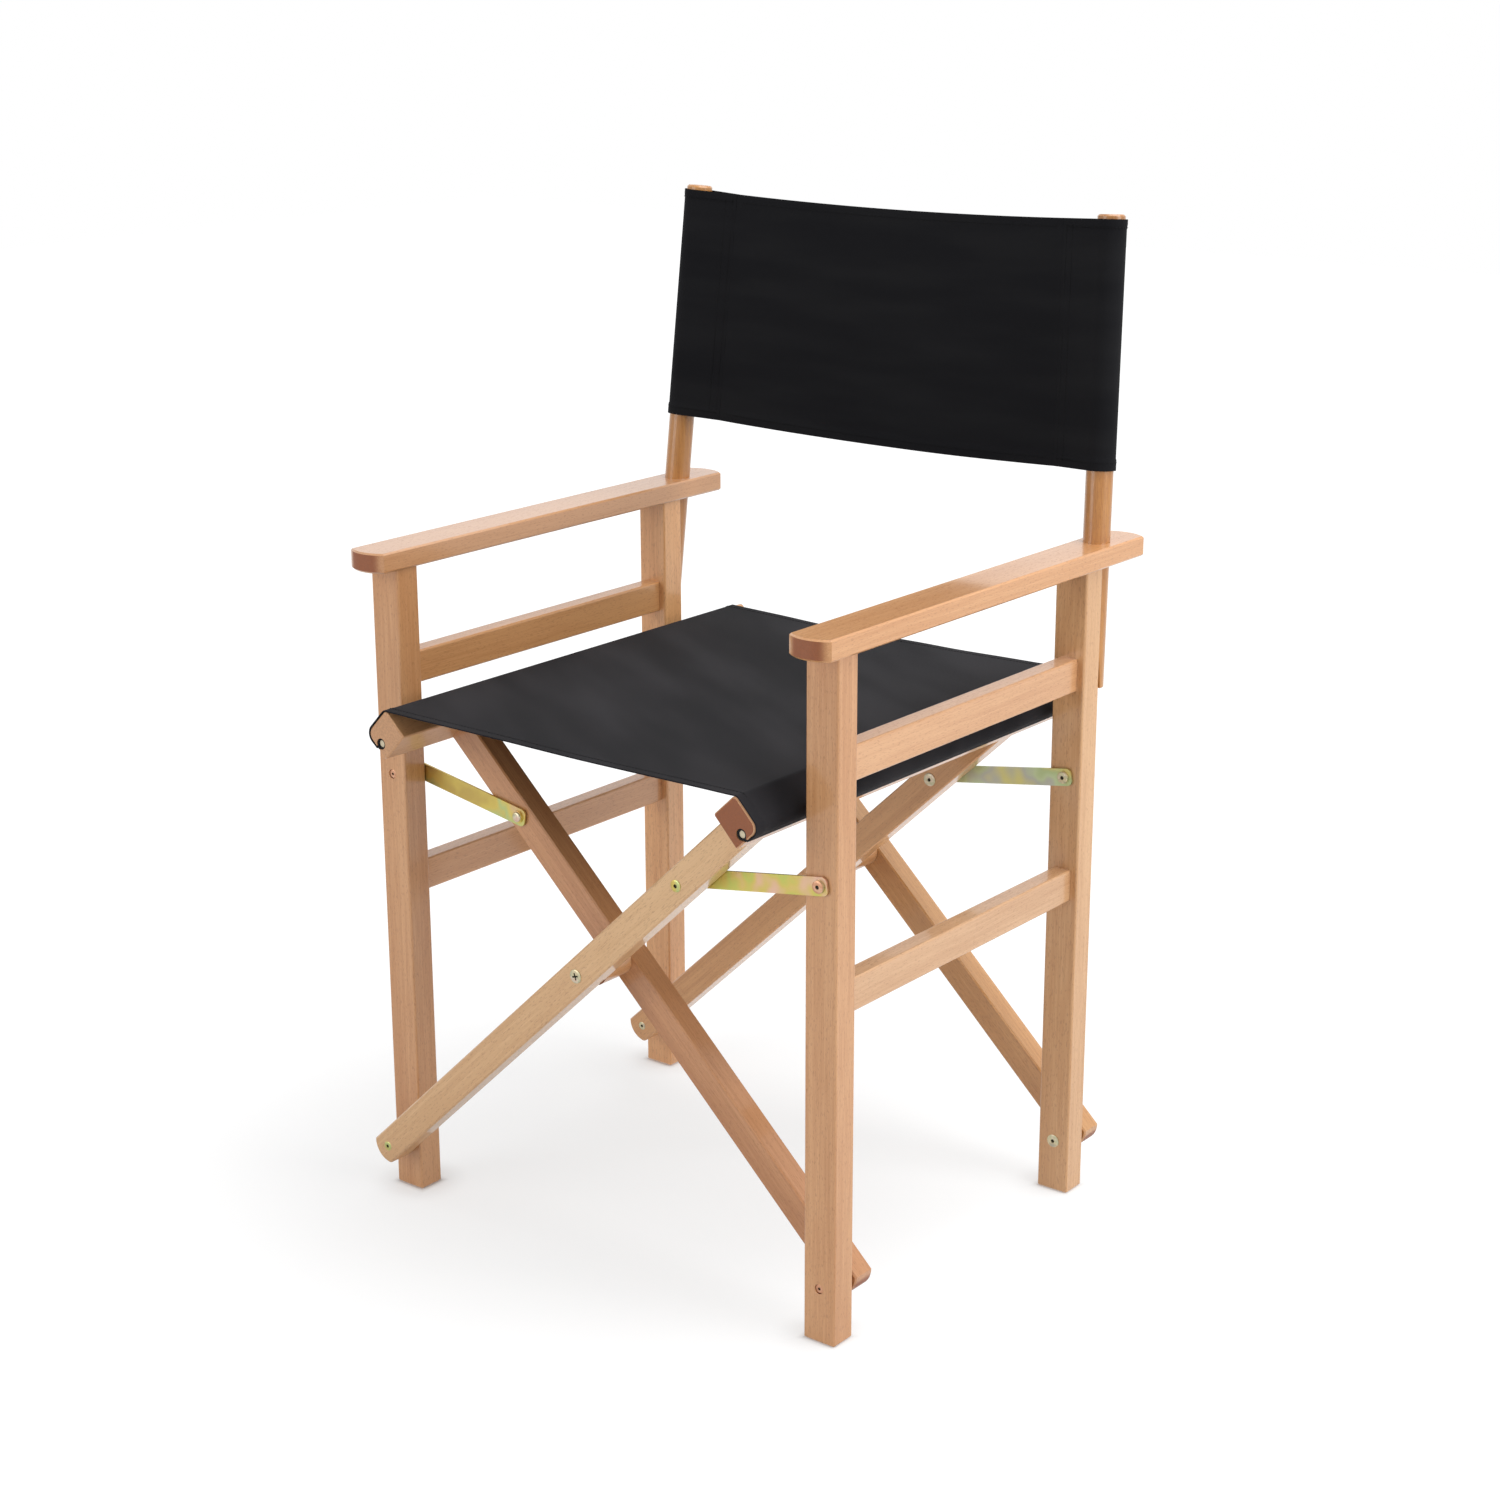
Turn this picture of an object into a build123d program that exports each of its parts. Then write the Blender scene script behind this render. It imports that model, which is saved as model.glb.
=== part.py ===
from build123d import *
from math import acos, atan, cos, degrees, hypot, radians, sin, tan
import os

# Folding director's chair in beech: two rigid side frames joined by a front and a rear pair of
# crossed bars, with a canvas seat between two tilting rails and a canvas back between two uprights.
# Millimetres. Seen from the front +X is right, -Y faces the viewer and +Z is up.
# The origin is on the floor under the middle of the chair's box.

# Side frames
leg_span = 515.0
leg_pitch = 365.0
leg_length = 598.0
leg_width = 32.0
leg_depth = 26.0
leg_ease = 2.0
foot_chamfer = 1.5
side_rail_height = 30.0
side_rail_thickness = 18.0
side_rail_ease = 2.0
upper_side_rail_drop = 95.0
lower_side_rail_drop = 292.5

# Armrests, whose ends are shallow arcs
armrest_length = 467.0
armrest_width = 41.0
armrest_thickness = 18.0
armrest_end_rise = 7.0
armrest_front_overhang = 17.4
armrest_inner_overhang = 3.0
armrest_edge_chamfer = 1.5

# Back uprights, which lean back and in
upright_diameter = 24.4
upright_rise = 283.0
upright_tail = 111.0
upright_lean_back = 5.1
upright_lean_in = 2.3
upright_top_chamfer = 1.5

# Crossed bars, whose slope follows from the seat rails' height and place
bar_width = 28.0
bar_thickness = 23.0
bar_edge_chamfer = 1.3
bar_end_reach = 15.5
bar_end_rise = 5.5
bar_lower_corner = 6.0
bar_upper_corner = 2.5
layer_gap = 3.5
lower_pivot_z = 50.0
spacer_diameter = 30.0

# Link straps
strap_width = 16.0
strap_corner = 5.0
strap_thickness = 2.0
strap_reach = 128.65
strap_leg_drop = 190.5

# Seat rails on the ends of the bars, with a keyhole groove for the seat's edge
seat_rail_drop = 133.6
seat_rail_inset = 46.3
rail_width = 34.0
rail_depth = 30.0
rail_length = 498.0
rail_front_overhang = 51.0
rail_corner = 4.0
rail_outer_corner = 8.0
rail_inner_corner = 2.0
rail_end_chamfer = 1.2
groove_diameter = 10.2
groove_inset = 6.5
groove_shift = -2.0
groove_mouth = 4.0
rod_diameter = 6.5

# Canvas
cloth = 1.2
cloth_gap = 0.3
seat_sag = 2.0
seat_end_margin = 2.0
seat_rear_margin = 14.0
back_height = 216.0
back_top_margin = 4.0
back_droop = 4.0
sleeve_reach = 52.0
pocket_seam = 2.0
pocket_edge = 0.2

# Glued joints: side rails into legs, legs into armrests, bars into seat rails
glue_gap = 0.1
rail_tenon = (9.0, 20.0, 14.0)
leg_tenon = (20.0, 14.0, 11.0)
bar_tenon = (11.0, 14.0, 12.0)
bar_tenon_shift = 6.0

# Barrel bolts, sunk below the wood at their ends, and the washers between bars and legs
running_clearance = 0.05
side_clearance = 0.15
bolt_diameter = 8.5
bolt_sink_in_bar = 0.4
bolt_sink_in_leg = 1.2
bolt_head_diameter = 11.0
bolt_head_height = 1.6
washer_diameter = 16.0

# Places worked out from the sizes above
leg_x = (leg_span - leg_width) / 2
armrest_inner_x = leg_x - leg_width / 2 - armrest_inner_overhang
armrest_outer_x = armrest_inner_x + armrest_width
armrest_x = (armrest_inner_x + armrest_outer_x) / 2
armrest_rear_reach = armrest_length + armrest_end_rise - armrest_front_overhang
armrest_top_z = leg_length + armrest_thickness
upper_side_rail_z = leg_length - upper_side_rail_drop
lower_side_rail_z = leg_length - lower_side_rail_drop
upright_top_z = armrest_top_z + upright_rise
upright_foot_z = leg_length - upright_tail
front_y = (rail_front_overhang - armrest_rear_reach) / 2
rear_y = front_y + leg_pitch
front_back_y = front_y + leg_depth
rear_back_y = rear_y + leg_depth
turn_y = front_y + leg_depth / 2
armrest_front_y = front_y - armrest_front_overhang
armrest_rear_y = armrest_front_y + armrest_length
upright_radius = upright_diameter / 2
lean_back = tan(radians(upright_lean_back))
lean_in = tan(radians(upright_lean_in))
seat_rail_rise = leg_length - seat_rail_drop - lower_pivot_z
bar_angle = degrees(atan(seat_rail_rise / (2 * leg_x - seat_rail_inset)))
rail_along_bar = hypot(seat_rail_rise, 2 * leg_x - seat_rail_inset)
bar_cos = cos(radians(bar_angle))
bar_sin = sin(radians(bar_angle))
bar_length = rail_along_bar - rail_depth / 2
bar_back_y = front_y - layer_gap
bar_front_y = bar_back_y - bar_thickness
bar_mid_y = (bar_front_y + bar_back_y) / 2
crossing_along_bar = leg_x / bar_cos
strap_along_bar = (2 * leg_x - strap_reach) / bar_cos
crossing_z = lower_pivot_z + crossing_along_bar * bar_sin
strap_bar_x = strap_along_bar * bar_cos - leg_x
strap_bar_z = lower_pivot_z + strap_along_bar * bar_sin
strap_leg_z = leg_length - strap_leg_drop
strap_length = hypot(leg_x - strap_bar_x, strap_leg_z - strap_bar_z)
strap_slope = degrees(atan((strap_leg_z - strap_bar_z) / (leg_x - strap_bar_x)))
strap_front_y = front_y - (layer_gap + strap_thickness) / 2
strap_back_y = strap_front_y + strap_thickness
rail_x = rail_along_bar * bar_cos - leg_x
rail_z = lower_pivot_z + rail_along_bar * bar_sin
rail_front_y = front_y - rail_front_overhang
rod_across = groove_inset - rail_width / 2
back_top_z = upright_top_z - back_top_margin
back_foot_z = back_top_z - back_height
bolt_hole = bolt_diameter / 2 + running_clearance
leg_mid_ys = (front_y + leg_depth / 2, rear_y + leg_depth / 2)
side_rail_zs = (upper_side_rail_z, lower_side_rail_z)
bar_ys_right = (bar_mid_y, bar_mid_y + leg_pitch)
bar_ys_left = (2 * turn_y - bar_mid_y, 2 * turn_y - bar_mid_y + leg_pitch)


# Planes, points and bores
def front_plane(y):
    """Seen from the front: sketch x is +X, sketch y is +Z, and extruding goes towards -Y."""
    return Plane(origin=(0, y, 0), x_dir=(1, 0, 0), z_dir=(0, -1, 0))


def bar_plane(y):
    """As front_plane, from the lower pivot of a bar that rises to the right, with x along the bar."""
    return Plane(origin=(-leg_x, y, lower_pivot_z), x_dir=(bar_cos, 0, bar_sin), z_dir=(0, -1, 0))


def on_rail(along, across):
    """The X and Z of a point of the right seat rail, from its centre, along and across its bar."""
    return (rail_x + along * bar_cos - across * bar_sin, rail_z + along * bar_sin + across * bar_cos)


def on_upright(z):
    """The point of the right upright's axis at a height; it touches the leg under the armrest."""
    x = leg_x - lean_in * (z - armrest_top_z)
    y = rear_back_y + upright_radius / cos(radians(upright_lean_back)) + lean_back * (z - leg_length)
    return (x, y, z)


def upright_plane(z):
    """A plane square to the right upright's axis at a height, with x in the plane of both uprights."""
    across = (1 + lean_back**2, lean_in * lean_back, lean_in)
    return Plane(origin=on_upright(z), x_dir=across, z_dir=(-lean_in, lean_back, 1))


def places_on(plane, *places):
    """Sketch points of a plane, as places for bores that go in square to it."""
    return [plane * Location((*place, 0)) for place in places]


# Copies of a finished piece
def at_rear(piece):
    """The rear crossing's copy of a piece of the front crossing."""
    with BuildPart() as copy:
        with Locations((0, leg_pitch, 0)):
            add(piece)
    return copy.part


def turned(piece):
    """A piece of the front crossing turned half round, as the other bar of the crossing has it."""
    with BuildPart() as copy:
        with Locations((0, 2 * turn_y, 0)):
            add(piece, rotation=(0, 0, 180))
    return copy.part


def mirrored(piece):
    """The left-hand piece of a right-hand one."""
    with BuildPart() as copy:
        mirror(piece, about=Plane.YZ)
    return copy.part


def pair(piece):
    """The front and rear copies of a fastener, as two solids of one node."""
    with BuildPart() as both:
        with Locations((0, 0, 0), (0, leg_pitch, 0)):
            add(piece)
    return both.part


# Barrel bolt: a sleeve nut with the bolt screwed into it, as one solid
def bolt(x, z, start_y, end_y):
    """A bolt along +Y between two depths."""
    with BuildPart() as made:
        with BuildSketch(front_plane(start_y)):
            with Locations((x, z)):
                Circle(bolt_diameter / 2)
        extrude(amount=start_y - end_y)
    return made.part


# Legs, tenoned at the top and mortised in the face towards the side rails
def leg(side, y, rail_face_y):
    """A leg from its front face's y; side is 1 for a right one and -1 for a left one."""
    x = side * leg_x
    leg_mid_y = y + leg_depth / 2
    into_rail_face = 1 if rail_face_y > y else -1
    with BuildPart() as made:
        with BuildSketch(Plane.XY):
            with Locations((x, leg_mid_y)):
                RectangleRounded(leg_width, leg_depth, leg_ease)
        extrude(amount=leg_length)
        chamfer(made.faces().sort_by(Axis.Z)[0].edges(), foot_chamfer)
        with Locations(*places_on(front_plane(y), (x, lower_pivot_z), (x, strap_leg_z))):
            Hole(bolt_hole, leg_depth)
        with BuildSketch(front_plane(rail_face_y)):
            with Locations(*[(x, z) for z in side_rail_zs]):
                Rectangle(rail_tenon[0] + 2 * glue_gap, rail_tenon[1] + 2 * glue_gap)
        extrude(amount=into_rail_face * (rail_tenon[2] + glue_gap), mode=Mode.SUBTRACT)
        with BuildSketch(Plane.XY.offset(leg_length)):
            with Locations((x, leg_mid_y)):
                Rectangle(leg_tenon[0], leg_tenon[1])
        extrude(amount=leg_tenon[2])
    return made.part


# Side rails, tenoned into the legs
def side_rail(z):
    """A right side rail at a height."""
    with BuildPart() as made:
        with BuildSketch(front_plane(front_back_y)):
            with Locations((leg_x, z)):
                RectangleRounded(side_rail_thickness, side_rail_height, side_rail_ease)
        extrude(amount=front_back_y - rear_y)
        with BuildSketch(front_plane(front_back_y - rail_tenon[2])):
            with Locations((leg_x, z)):
                Rectangle(rail_tenon[0], rail_tenon[1])
        extrude(amount=front_back_y - rear_y - 2 * rail_tenon[2])
    return made.part


# Upright: a round dowel through the armrest, cut flat below it to lie on the back of the rear leg
with BuildPart() as upright:
    with BuildSketch(upright_plane(upright_foot_z - upright_diameter)):
        Circle(upright_radius)
    extrude(amount=(upright_top_z - upright_foot_z + upright_diameter) * hypot(1, lean_in, lean_back))
    chamfer(upright.faces().sort_by(Axis.Z)[-1].edges(), upright_top_chamfer)
    split(bisect_by=Plane.XY.offset(upright_foot_z), keep=Keep.TOP)
    with BuildSketch(Plane.XY.offset(upright_foot_z)):
        with Locations((leg_x, rear_back_y)):
            Rectangle(leg_span, leg_pitch, align=(Align.CENTER, Align.MAX))
    extrude(amount=leg_length - upright_foot_z, mode=Mode.SUBTRACT)

# Armrest: straight sides, arc ends, eased all round, bored for the upright and mortised for the legs
with BuildPart() as armrest:
    with BuildSketch(Plane.XY.offset(leg_length)):
        with BuildLine():
            Line((armrest_outer_x, armrest_front_y), (armrest_outer_x, armrest_rear_y))
            ThreePointArc(
                (armrest_outer_x, armrest_rear_y),
                (armrest_x, armrest_rear_y + armrest_end_rise),
                (armrest_inner_x, armrest_rear_y),
            )
            Line((armrest_inner_x, armrest_rear_y), (armrest_inner_x, armrest_front_y))
            ThreePointArc(
                (armrest_inner_x, armrest_front_y),
                (armrest_x, armrest_front_y - armrest_end_rise),
                (armrest_outer_x, armrest_front_y),
            )
        make_face()
    extrude(amount=armrest_thickness)
    chamfer(armrest.faces().filter_by(Axis.Z).edges(), armrest_edge_chamfer)
    with BuildSketch(upright_plane(leg_length - armrest_thickness)):
        Circle(upright_radius + running_clearance)
    extrude(amount=3 * armrest_thickness, mode=Mode.SUBTRACT)
    with BuildSketch(Plane.XY.offset(leg_length)):
        with Locations(*[(leg_x, y) for y in leg_mid_ys]):
            Rectangle(leg_tenon[0] + 2 * glue_gap, leg_tenon[1] + 2 * glue_gap)
    extrude(amount=leg_tenon[2] + glue_gap, mode=Mode.SUBTRACT)

# Crossed bar: the front one that rises to the right, with a rounded foot and a square top end
bar_places = ((0, 0), (crossing_along_bar, 0), (strap_along_bar, 0))
with BuildPart() as bar:
    with BuildSketch(bar_plane(bar_back_y)) as bar_outline:
        shoulder = bar_end_rise - bar_end_reach
        with BuildLine():
            Polyline(
                (shoulder, -bar_width / 2),
                (rail_along_bar, -bar_width / 2),
                (rail_along_bar, bar_width / 2),
                (shoulder, bar_width / 2),
            )
            ThreePointArc(
                (shoulder, bar_width / 2),
                (-bar_end_reach, 0),
                (shoulder, -bar_width / 2),
            )
        make_face()
        foot_corners = bar_outline.vertices().group_by(Axis.X)[0].sort_by(Axis.Y)
        fillet(foot_corners[0], bar_lower_corner)
        fillet(foot_corners[-1], bar_upper_corner)
    extrude(amount=bar_thickness)
    chamfer(bar.faces().filter_by(Axis.Y).edges(), bar_edge_chamfer)
    top_end = bar_plane(bar_mid_y).from_local_coords((bar_length, 0, 0))
    split(bisect_by=Plane(origin=top_end, z_dir=(bar_cos, 0, bar_sin)), keep=Keep.BOTTOM)
    with Locations(*places_on(bar_plane(bar_front_y), *bar_places)):
        Hole(bolt_hole, bar_thickness)
    tenon_middle = bar_plane(bar_mid_y).from_local_coords((bar_length, bar_tenon_shift, 0))
    with BuildSketch(Plane(origin=tenon_middle, x_dir=(0, 1, 0), z_dir=(bar_cos, 0, bar_sin))):
        Rectangle(bar_tenon[1], bar_tenon[0])
    extrude(amount=bar_tenon[2])


# Seat rail: rounded section with a keyhole groove, mortised for the tenons of its two bars
def seat_rail(bar_ys):
    """The right rail for bars at the given places along it."""
    with BuildPart() as made:
        with BuildSketch(front_plane(rail_front_y)) as section:
            with Locations(Location((rail_x, rail_z, 0), (0, 0, bar_angle))):
                Rectangle(rail_depth, rail_width)
            top = section.vertices().sort_by_distance(on_rail(rail_depth / 2, rail_width / 2))[0]
            fillet(top, rail_corner)
            outside = section.vertices().sort_by_distance(on_rail(rail_depth / 2, -rail_width / 2))[0]
            fillet(outside, rail_outer_corner)
            fillet(section.vertices().sort_by_distance(on_rail(-rail_depth / 2, 0))[0:2], rail_inner_corner)
        extrude(amount=-rail_length)
        chamfer(made.faces().filter_by(Axis.Y).edges(), rail_end_chamfer)
        with BuildSketch(front_plane(rail_front_y)):
            with Locations(Location((*on_rail(groove_shift, rod_across), 0), (0, 0, bar_angle))):
                Circle(groove_diameter / 2)
                Rectangle(groove_mouth, rail_width, align=(Align.CENTER, Align.MAX))
        extrude(amount=-rail_length, mode=Mode.SUBTRACT)
        for y in bar_ys:
            x, z = on_rail(-rail_depth / 2, bar_tenon_shift)
            with BuildSketch(Plane(origin=(x, y, z), x_dir=(0, 1, 0), z_dir=(bar_cos, 0, bar_sin))):
                Rectangle(bar_tenon[1] + 2 * glue_gap, bar_tenon[0] + 2 * glue_gap)
            extrude(amount=bar_tenon[2] + glue_gap, mode=Mode.SUBTRACT)
    return made.part


with BuildPart() as seat_rod:
    with BuildSketch(front_plane(rail_front_y + seat_end_margin)):
        with Locations(on_rail(groove_shift, rod_across)):
            Circle(rod_diameter / 2)
    extrude(amount=2 * seat_end_margin - rail_length)

# Link strap between the right leg and the front bar that rises to the right. At the bar it carries
# the head of its own rivet, on the side away from the bar
with BuildPart() as strap:
    with BuildSketch(front_plane(strap_back_y)):
        middle = ((strap_bar_x + leg_x) / 2, (strap_bar_z + strap_leg_z) / 2, 0)
        with Locations(Location(middle, (0, 0, strap_slope))):
            RectangleRounded(strap_length + strap_width, strap_width, strap_corner)
        with Locations((leg_x, strap_leg_z)):
            Circle(bolt_hole, mode=Mode.SUBTRACT)
    extrude(amount=strap_thickness)
    with BuildSketch(front_plane(strap_back_y)):
        with Locations((strap_bar_x, strap_bar_z)):
            Circle(bolt_head_diameter / 2)
    extrude(amount=-bolt_head_height)

# Crossing spacer and lower pivot washer, both on the bar that rises to the right
with BuildPart() as spacer:
    with BuildSketch(front_plane(bar_back_y)):
        with Locations((0, crossing_z)):
            Circle(spacer_diameter / 2)
            Circle(bolt_hole, mode=Mode.SUBTRACT)
    extrude(amount=side_clearance - leg_depth - 2 * layer_gap)

with BuildPart() as washer:
    with BuildSketch(front_plane(bar_back_y)):
        with Locations((-leg_x, lower_pivot_z)):
            Circle(washer_diameter / 2)
            Circle(bolt_hole, mode=Mode.SUBTRACT)
    extrude(amount=side_clearance - layer_gap)

# Bolts of the front crossing; the one of a strap and its leg has a flat head on the strap
bar_bolt_y = bar_front_y + bolt_sink_in_bar
leg_bolt_y = front_back_y - bolt_sink_in_leg
strap_head_y = strap_front_y - side_clearance
pivot_bolt = bolt(-leg_x, lower_pivot_z, bar_bolt_y, leg_bolt_y)
crossing_bolt = bolt(0, crossing_z, bar_bolt_y, 2 * turn_y - bar_bolt_y)
strap_bar_bolt = bolt(strap_bar_x, strap_bar_z, bar_bolt_y, bar_back_y)
strap_leg_shank = bolt(leg_x, strap_leg_z, strap_head_y, leg_bolt_y)
with BuildPart() as strap_leg_bolt:
    add(strap_leg_shank)
    with BuildSketch(front_plane(strap_head_y)):
        with Locations((leg_x, strap_leg_z)):
            Circle(bolt_head_diameter / 2)
    extrude(amount=bolt_head_height)

# Seat canvas: hangs in a shallow arc, wraps over each rail and enters the groove round its rod
corner_in = on_rail(rail_depth / 2 - rail_corner, rail_width / 2 - rail_corner)
corner_out = on_rail(rail_depth / 2 - rail_outer_corner, rail_outer_corner - rail_width / 2)
sag_angle = 2 * degrees(atan(seat_sag / corner_in[0]))
sag_radius = corner_in[0] / sin(radians(sag_angle))
sag_centre = (0, corner_in[1] + sag_radius * cos(radians(sag_angle)))
canvas_under = cloth_gap
canvas_over = cloth_gap + cloth


def canvas_line(rise):
    """The right half of the line that lies at a height over the rail's faces."""
    radius = rail_corner + rise
    outer_radius = rail_outer_corner + rise
    face = (radius * bar_cos, radius * bar_sin)
    outer_face = (outer_radius * bar_cos, outer_radius * bar_sin)
    with BuildLine() as drawn:
        CenterArc(sag_centre, sag_radius - radius, 270, sag_angle)
        CenterArc(corner_in, radius, bar_angle, 90 + sag_angle - bar_angle)
        Line(
            (corner_in[0] + face[0], corner_in[1] + face[1]),
            (corner_out[0] + outer_face[0], corner_out[1] + outer_face[1]),
        )
        CenterArc(corner_out, outer_radius, bar_angle - 90, 90)
        Line(
            (corner_out[0] + outer_face[1], corner_out[1] - outer_face[0]),
            on_rail(groove_shift, -rail_width / 2 - rise),
        )
    return drawn.line


def canvas_middle(rise):
    """The point of that line on the chair's middle plane."""
    return (0, sag_centre[1] - sag_radius + rail_corner + rise)


with BuildPart() as seat_sling:
    with BuildSketch(front_plane(rail_front_y + seat_end_margin)):
        with BuildLine():
            add(canvas_line(canvas_under))
            add(canvas_line(canvas_over))
            Line(canvas_middle(canvas_under), canvas_middle(canvas_over))
            Line(
                on_rail(groove_shift, -rail_width / 2 - canvas_under),
                on_rail(groove_shift, -rail_width / 2 - canvas_over),
            )
        make_face()
        with Locations(Location((*on_rail(groove_shift, rod_across), 0), (0, 0, bar_angle))):
            Circle(rod_diameter / 2 + canvas_over)
            Rectangle(2 * cloth, groove_inset + canvas_over, align=(Align.CENTER, Align.MAX))
            Circle(rod_diameter / 2 + canvas_under, mode=Mode.SUBTRACT)
        mirror(about=Plane.YZ)
    extrude(amount=seat_end_margin + seat_rear_margin - rail_length)


# Back canvas: one layer in the plane of both uprights, turned round each of them and sewn back on itself
back_plane = Plane(origin=(0, *on_upright(back_foot_z)[1:]), x_dir=(1, 0, 0), z_dir=(0, -1, lean_back))


def sleeve_plan(radius, reach, half_edge):
    """A drop-shaped section round the right upright, which comes to an edge inboard of it."""
    turn = acos(radius / hypot(reach, half_edge)) + atan(half_edge / reach)
    touch_x = -radius * cos(turn)
    touch_y = radius * sin(turn)
    with BuildSketch(upright_plane(back_foot_z)) as drawn:
        with BuildLine():
            Polyline((touch_x, -touch_y), (-reach, -half_edge), (-reach, half_edge), (touch_x, touch_y))
            ThreePointArc((touch_x, -touch_y), (radius, 0), (touch_x, touch_y))
        make_face()
    return drawn.sketch


def on_seam(z):
    """The point of the right sleeve's seam that lies square across from a height of the upright."""
    seam = upright_plane(z).from_local_coords((pocket_seam / 2 - sleeve_reach, 0, 0))
    return back_plane.to_local_coords(seam)


sleeve_length = back_height * hypot(1, lean_in, lean_back)
with BuildPart() as back_sleeve:
    extrude(sleeve_plan(upright_radius + canvas_over, sleeve_reach, cloth / 2), amount=sleeve_length)
    inside = sleeve_plan(upright_radius + canvas_under, sleeve_reach - pocket_seam, pocket_edge / 2)
    extrude(inside, amount=sleeve_length, mode=Mode.SUBTRACT)

with BuildPart() as back_sling:
    with BuildSketch(back_plane):
        foot = on_seam(back_foot_z)
        top = on_seam(back_top_z)
        with BuildLine():
            Line((foot.X, foot.Y), (top.X, top.Y))
            ThreePointArc((top.X, top.Y), (0, top.Y - back_droop), (-top.X, top.Y))
            Line((-top.X, top.Y), (-foot.X, foot.Y))
            ThreePointArc((-foot.X, foot.Y), (0, foot.Y - back_droop), (foot.X, foot.Y))
        make_face()
    extrude(amount=cloth / 2, both=True)
    add(back_sleeve.part)
    mirror(back_sleeve.part, about=Plane.YZ)

# Nodes
pieces = {
    "front_leg_right": leg(1, front_y, front_back_y),
    "rear_leg_right": leg(1, rear_y, rear_y),
    "front_leg_left": leg(-1, front_y, front_back_y),
    "rear_leg_left": leg(-1, rear_y, rear_y),
    "armrest_right": armrest.part,
    "armrest_left": mirrored(armrest.part),
    "upper_side_rail_right": side_rail(upper_side_rail_z),
    "upper_side_rail_left": mirrored(side_rail(upper_side_rail_z)),
    "lower_side_rail_right": side_rail(lower_side_rail_z),
    "lower_side_rail_left": mirrored(side_rail(lower_side_rail_z)),
    "back_upright_right": upright.part,
    "back_upright_left": mirrored(upright.part),
    "front_bar_rising_right": bar.part,
    "rear_bar_rising_right": at_rear(bar.part),
    "front_bar_rising_left": turned(bar.part),
    "rear_bar_rising_left": at_rear(turned(bar.part)),
    "crossing_spacers": pair(spacer.part),
    "crossing_bolts": pair(crossing_bolt),
    "lower_pivot_bolts_left": pair(pivot_bolt),
    "lower_pivot_bolts_right": pair(turned(pivot_bolt)),
    "lower_pivot_washers_left": pair(washer.part),
    "lower_pivot_washers_right": pair(turned(washer.part)),
    "front_strap_right": strap.part,
    "rear_strap_right": at_rear(strap.part),
    "front_strap_left": turned(strap.part),
    "rear_strap_left": at_rear(turned(strap.part)),
    "strap_bar_bolts_right": pair(strap_bar_bolt),
    "strap_bar_bolts_left": pair(turned(strap_bar_bolt)),
    "strap_leg_bolts_right": pair(strap_leg_bolt.part),
    "strap_leg_bolts_left": pair(turned(strap_leg_bolt.part)),
    "seat_rail_right": seat_rail(bar_ys_right),
    "seat_rail_left": mirrored(seat_rail(bar_ys_left)),
    "seat_rod_right": seat_rod.part,
    "seat_rod_left": mirrored(seat_rod.part),
    "seat_sling": seat_sling.part,
    "back_sling": back_sling.part,
}

os.makedirs("parts", exist_ok=True)
for node, piece in pieces.items():
    piece.label = node
    export_step(piece, f"parts/{node}.step")
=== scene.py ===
# %% [markdown]
# # A folding director's chair
# The chair is a beech frame that folds sideways, with black canvas stretched between two seat rails
# and between two back uprights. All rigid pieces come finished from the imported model, so this lesson
# gives them their finishes, sews the two canvases, and adds the small metal that shows on the joints.
# Every length is in metres, +Z is up, and the front of the chair faces -Y.

import math

import bpy
from mathutils import Matrix, Quaternion, Vector, noise


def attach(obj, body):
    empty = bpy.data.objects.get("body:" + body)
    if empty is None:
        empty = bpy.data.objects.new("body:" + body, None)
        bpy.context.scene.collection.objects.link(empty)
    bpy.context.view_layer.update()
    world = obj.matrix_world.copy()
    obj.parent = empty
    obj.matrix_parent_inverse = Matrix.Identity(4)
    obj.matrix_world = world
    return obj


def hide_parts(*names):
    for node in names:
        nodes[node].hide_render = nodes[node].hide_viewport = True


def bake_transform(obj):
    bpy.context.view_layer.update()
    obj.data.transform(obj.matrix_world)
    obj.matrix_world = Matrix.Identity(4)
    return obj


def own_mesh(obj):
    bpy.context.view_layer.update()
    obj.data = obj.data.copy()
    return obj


MM = 0.001
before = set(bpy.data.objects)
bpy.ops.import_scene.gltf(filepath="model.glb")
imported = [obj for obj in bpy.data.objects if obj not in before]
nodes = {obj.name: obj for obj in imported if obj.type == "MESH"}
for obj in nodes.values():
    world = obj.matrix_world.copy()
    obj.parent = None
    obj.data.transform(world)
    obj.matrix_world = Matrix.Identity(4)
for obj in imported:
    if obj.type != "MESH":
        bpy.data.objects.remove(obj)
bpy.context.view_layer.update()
bpy.ops.object.select_all(action="DESELECT")

# %% [markdown]
# ## Camera
# The picture is a product shot on white: a long lens a little above the seat, to the right of the
# chair's front. Its place, its aim and a very slight roll make the model's edges fall where the
# photo's do, so they are given as plain numbers.

# %% Camera
LENS = 64.605
SENSOR = 36.0
CAMERA_PLACE = (1.4488, -1.8197, 1.1359)
CAMERA_TARGET = (-0.0418, 0.0647, 0.4030)
CAMERA_ROLL = math.radians(-0.16)


def facing(place, target):
    """The turn that points a camera or a lamp from its place at a target."""
    return (Vector(target) - Vector(place)).to_track_quat("-Z", "Y")


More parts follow.
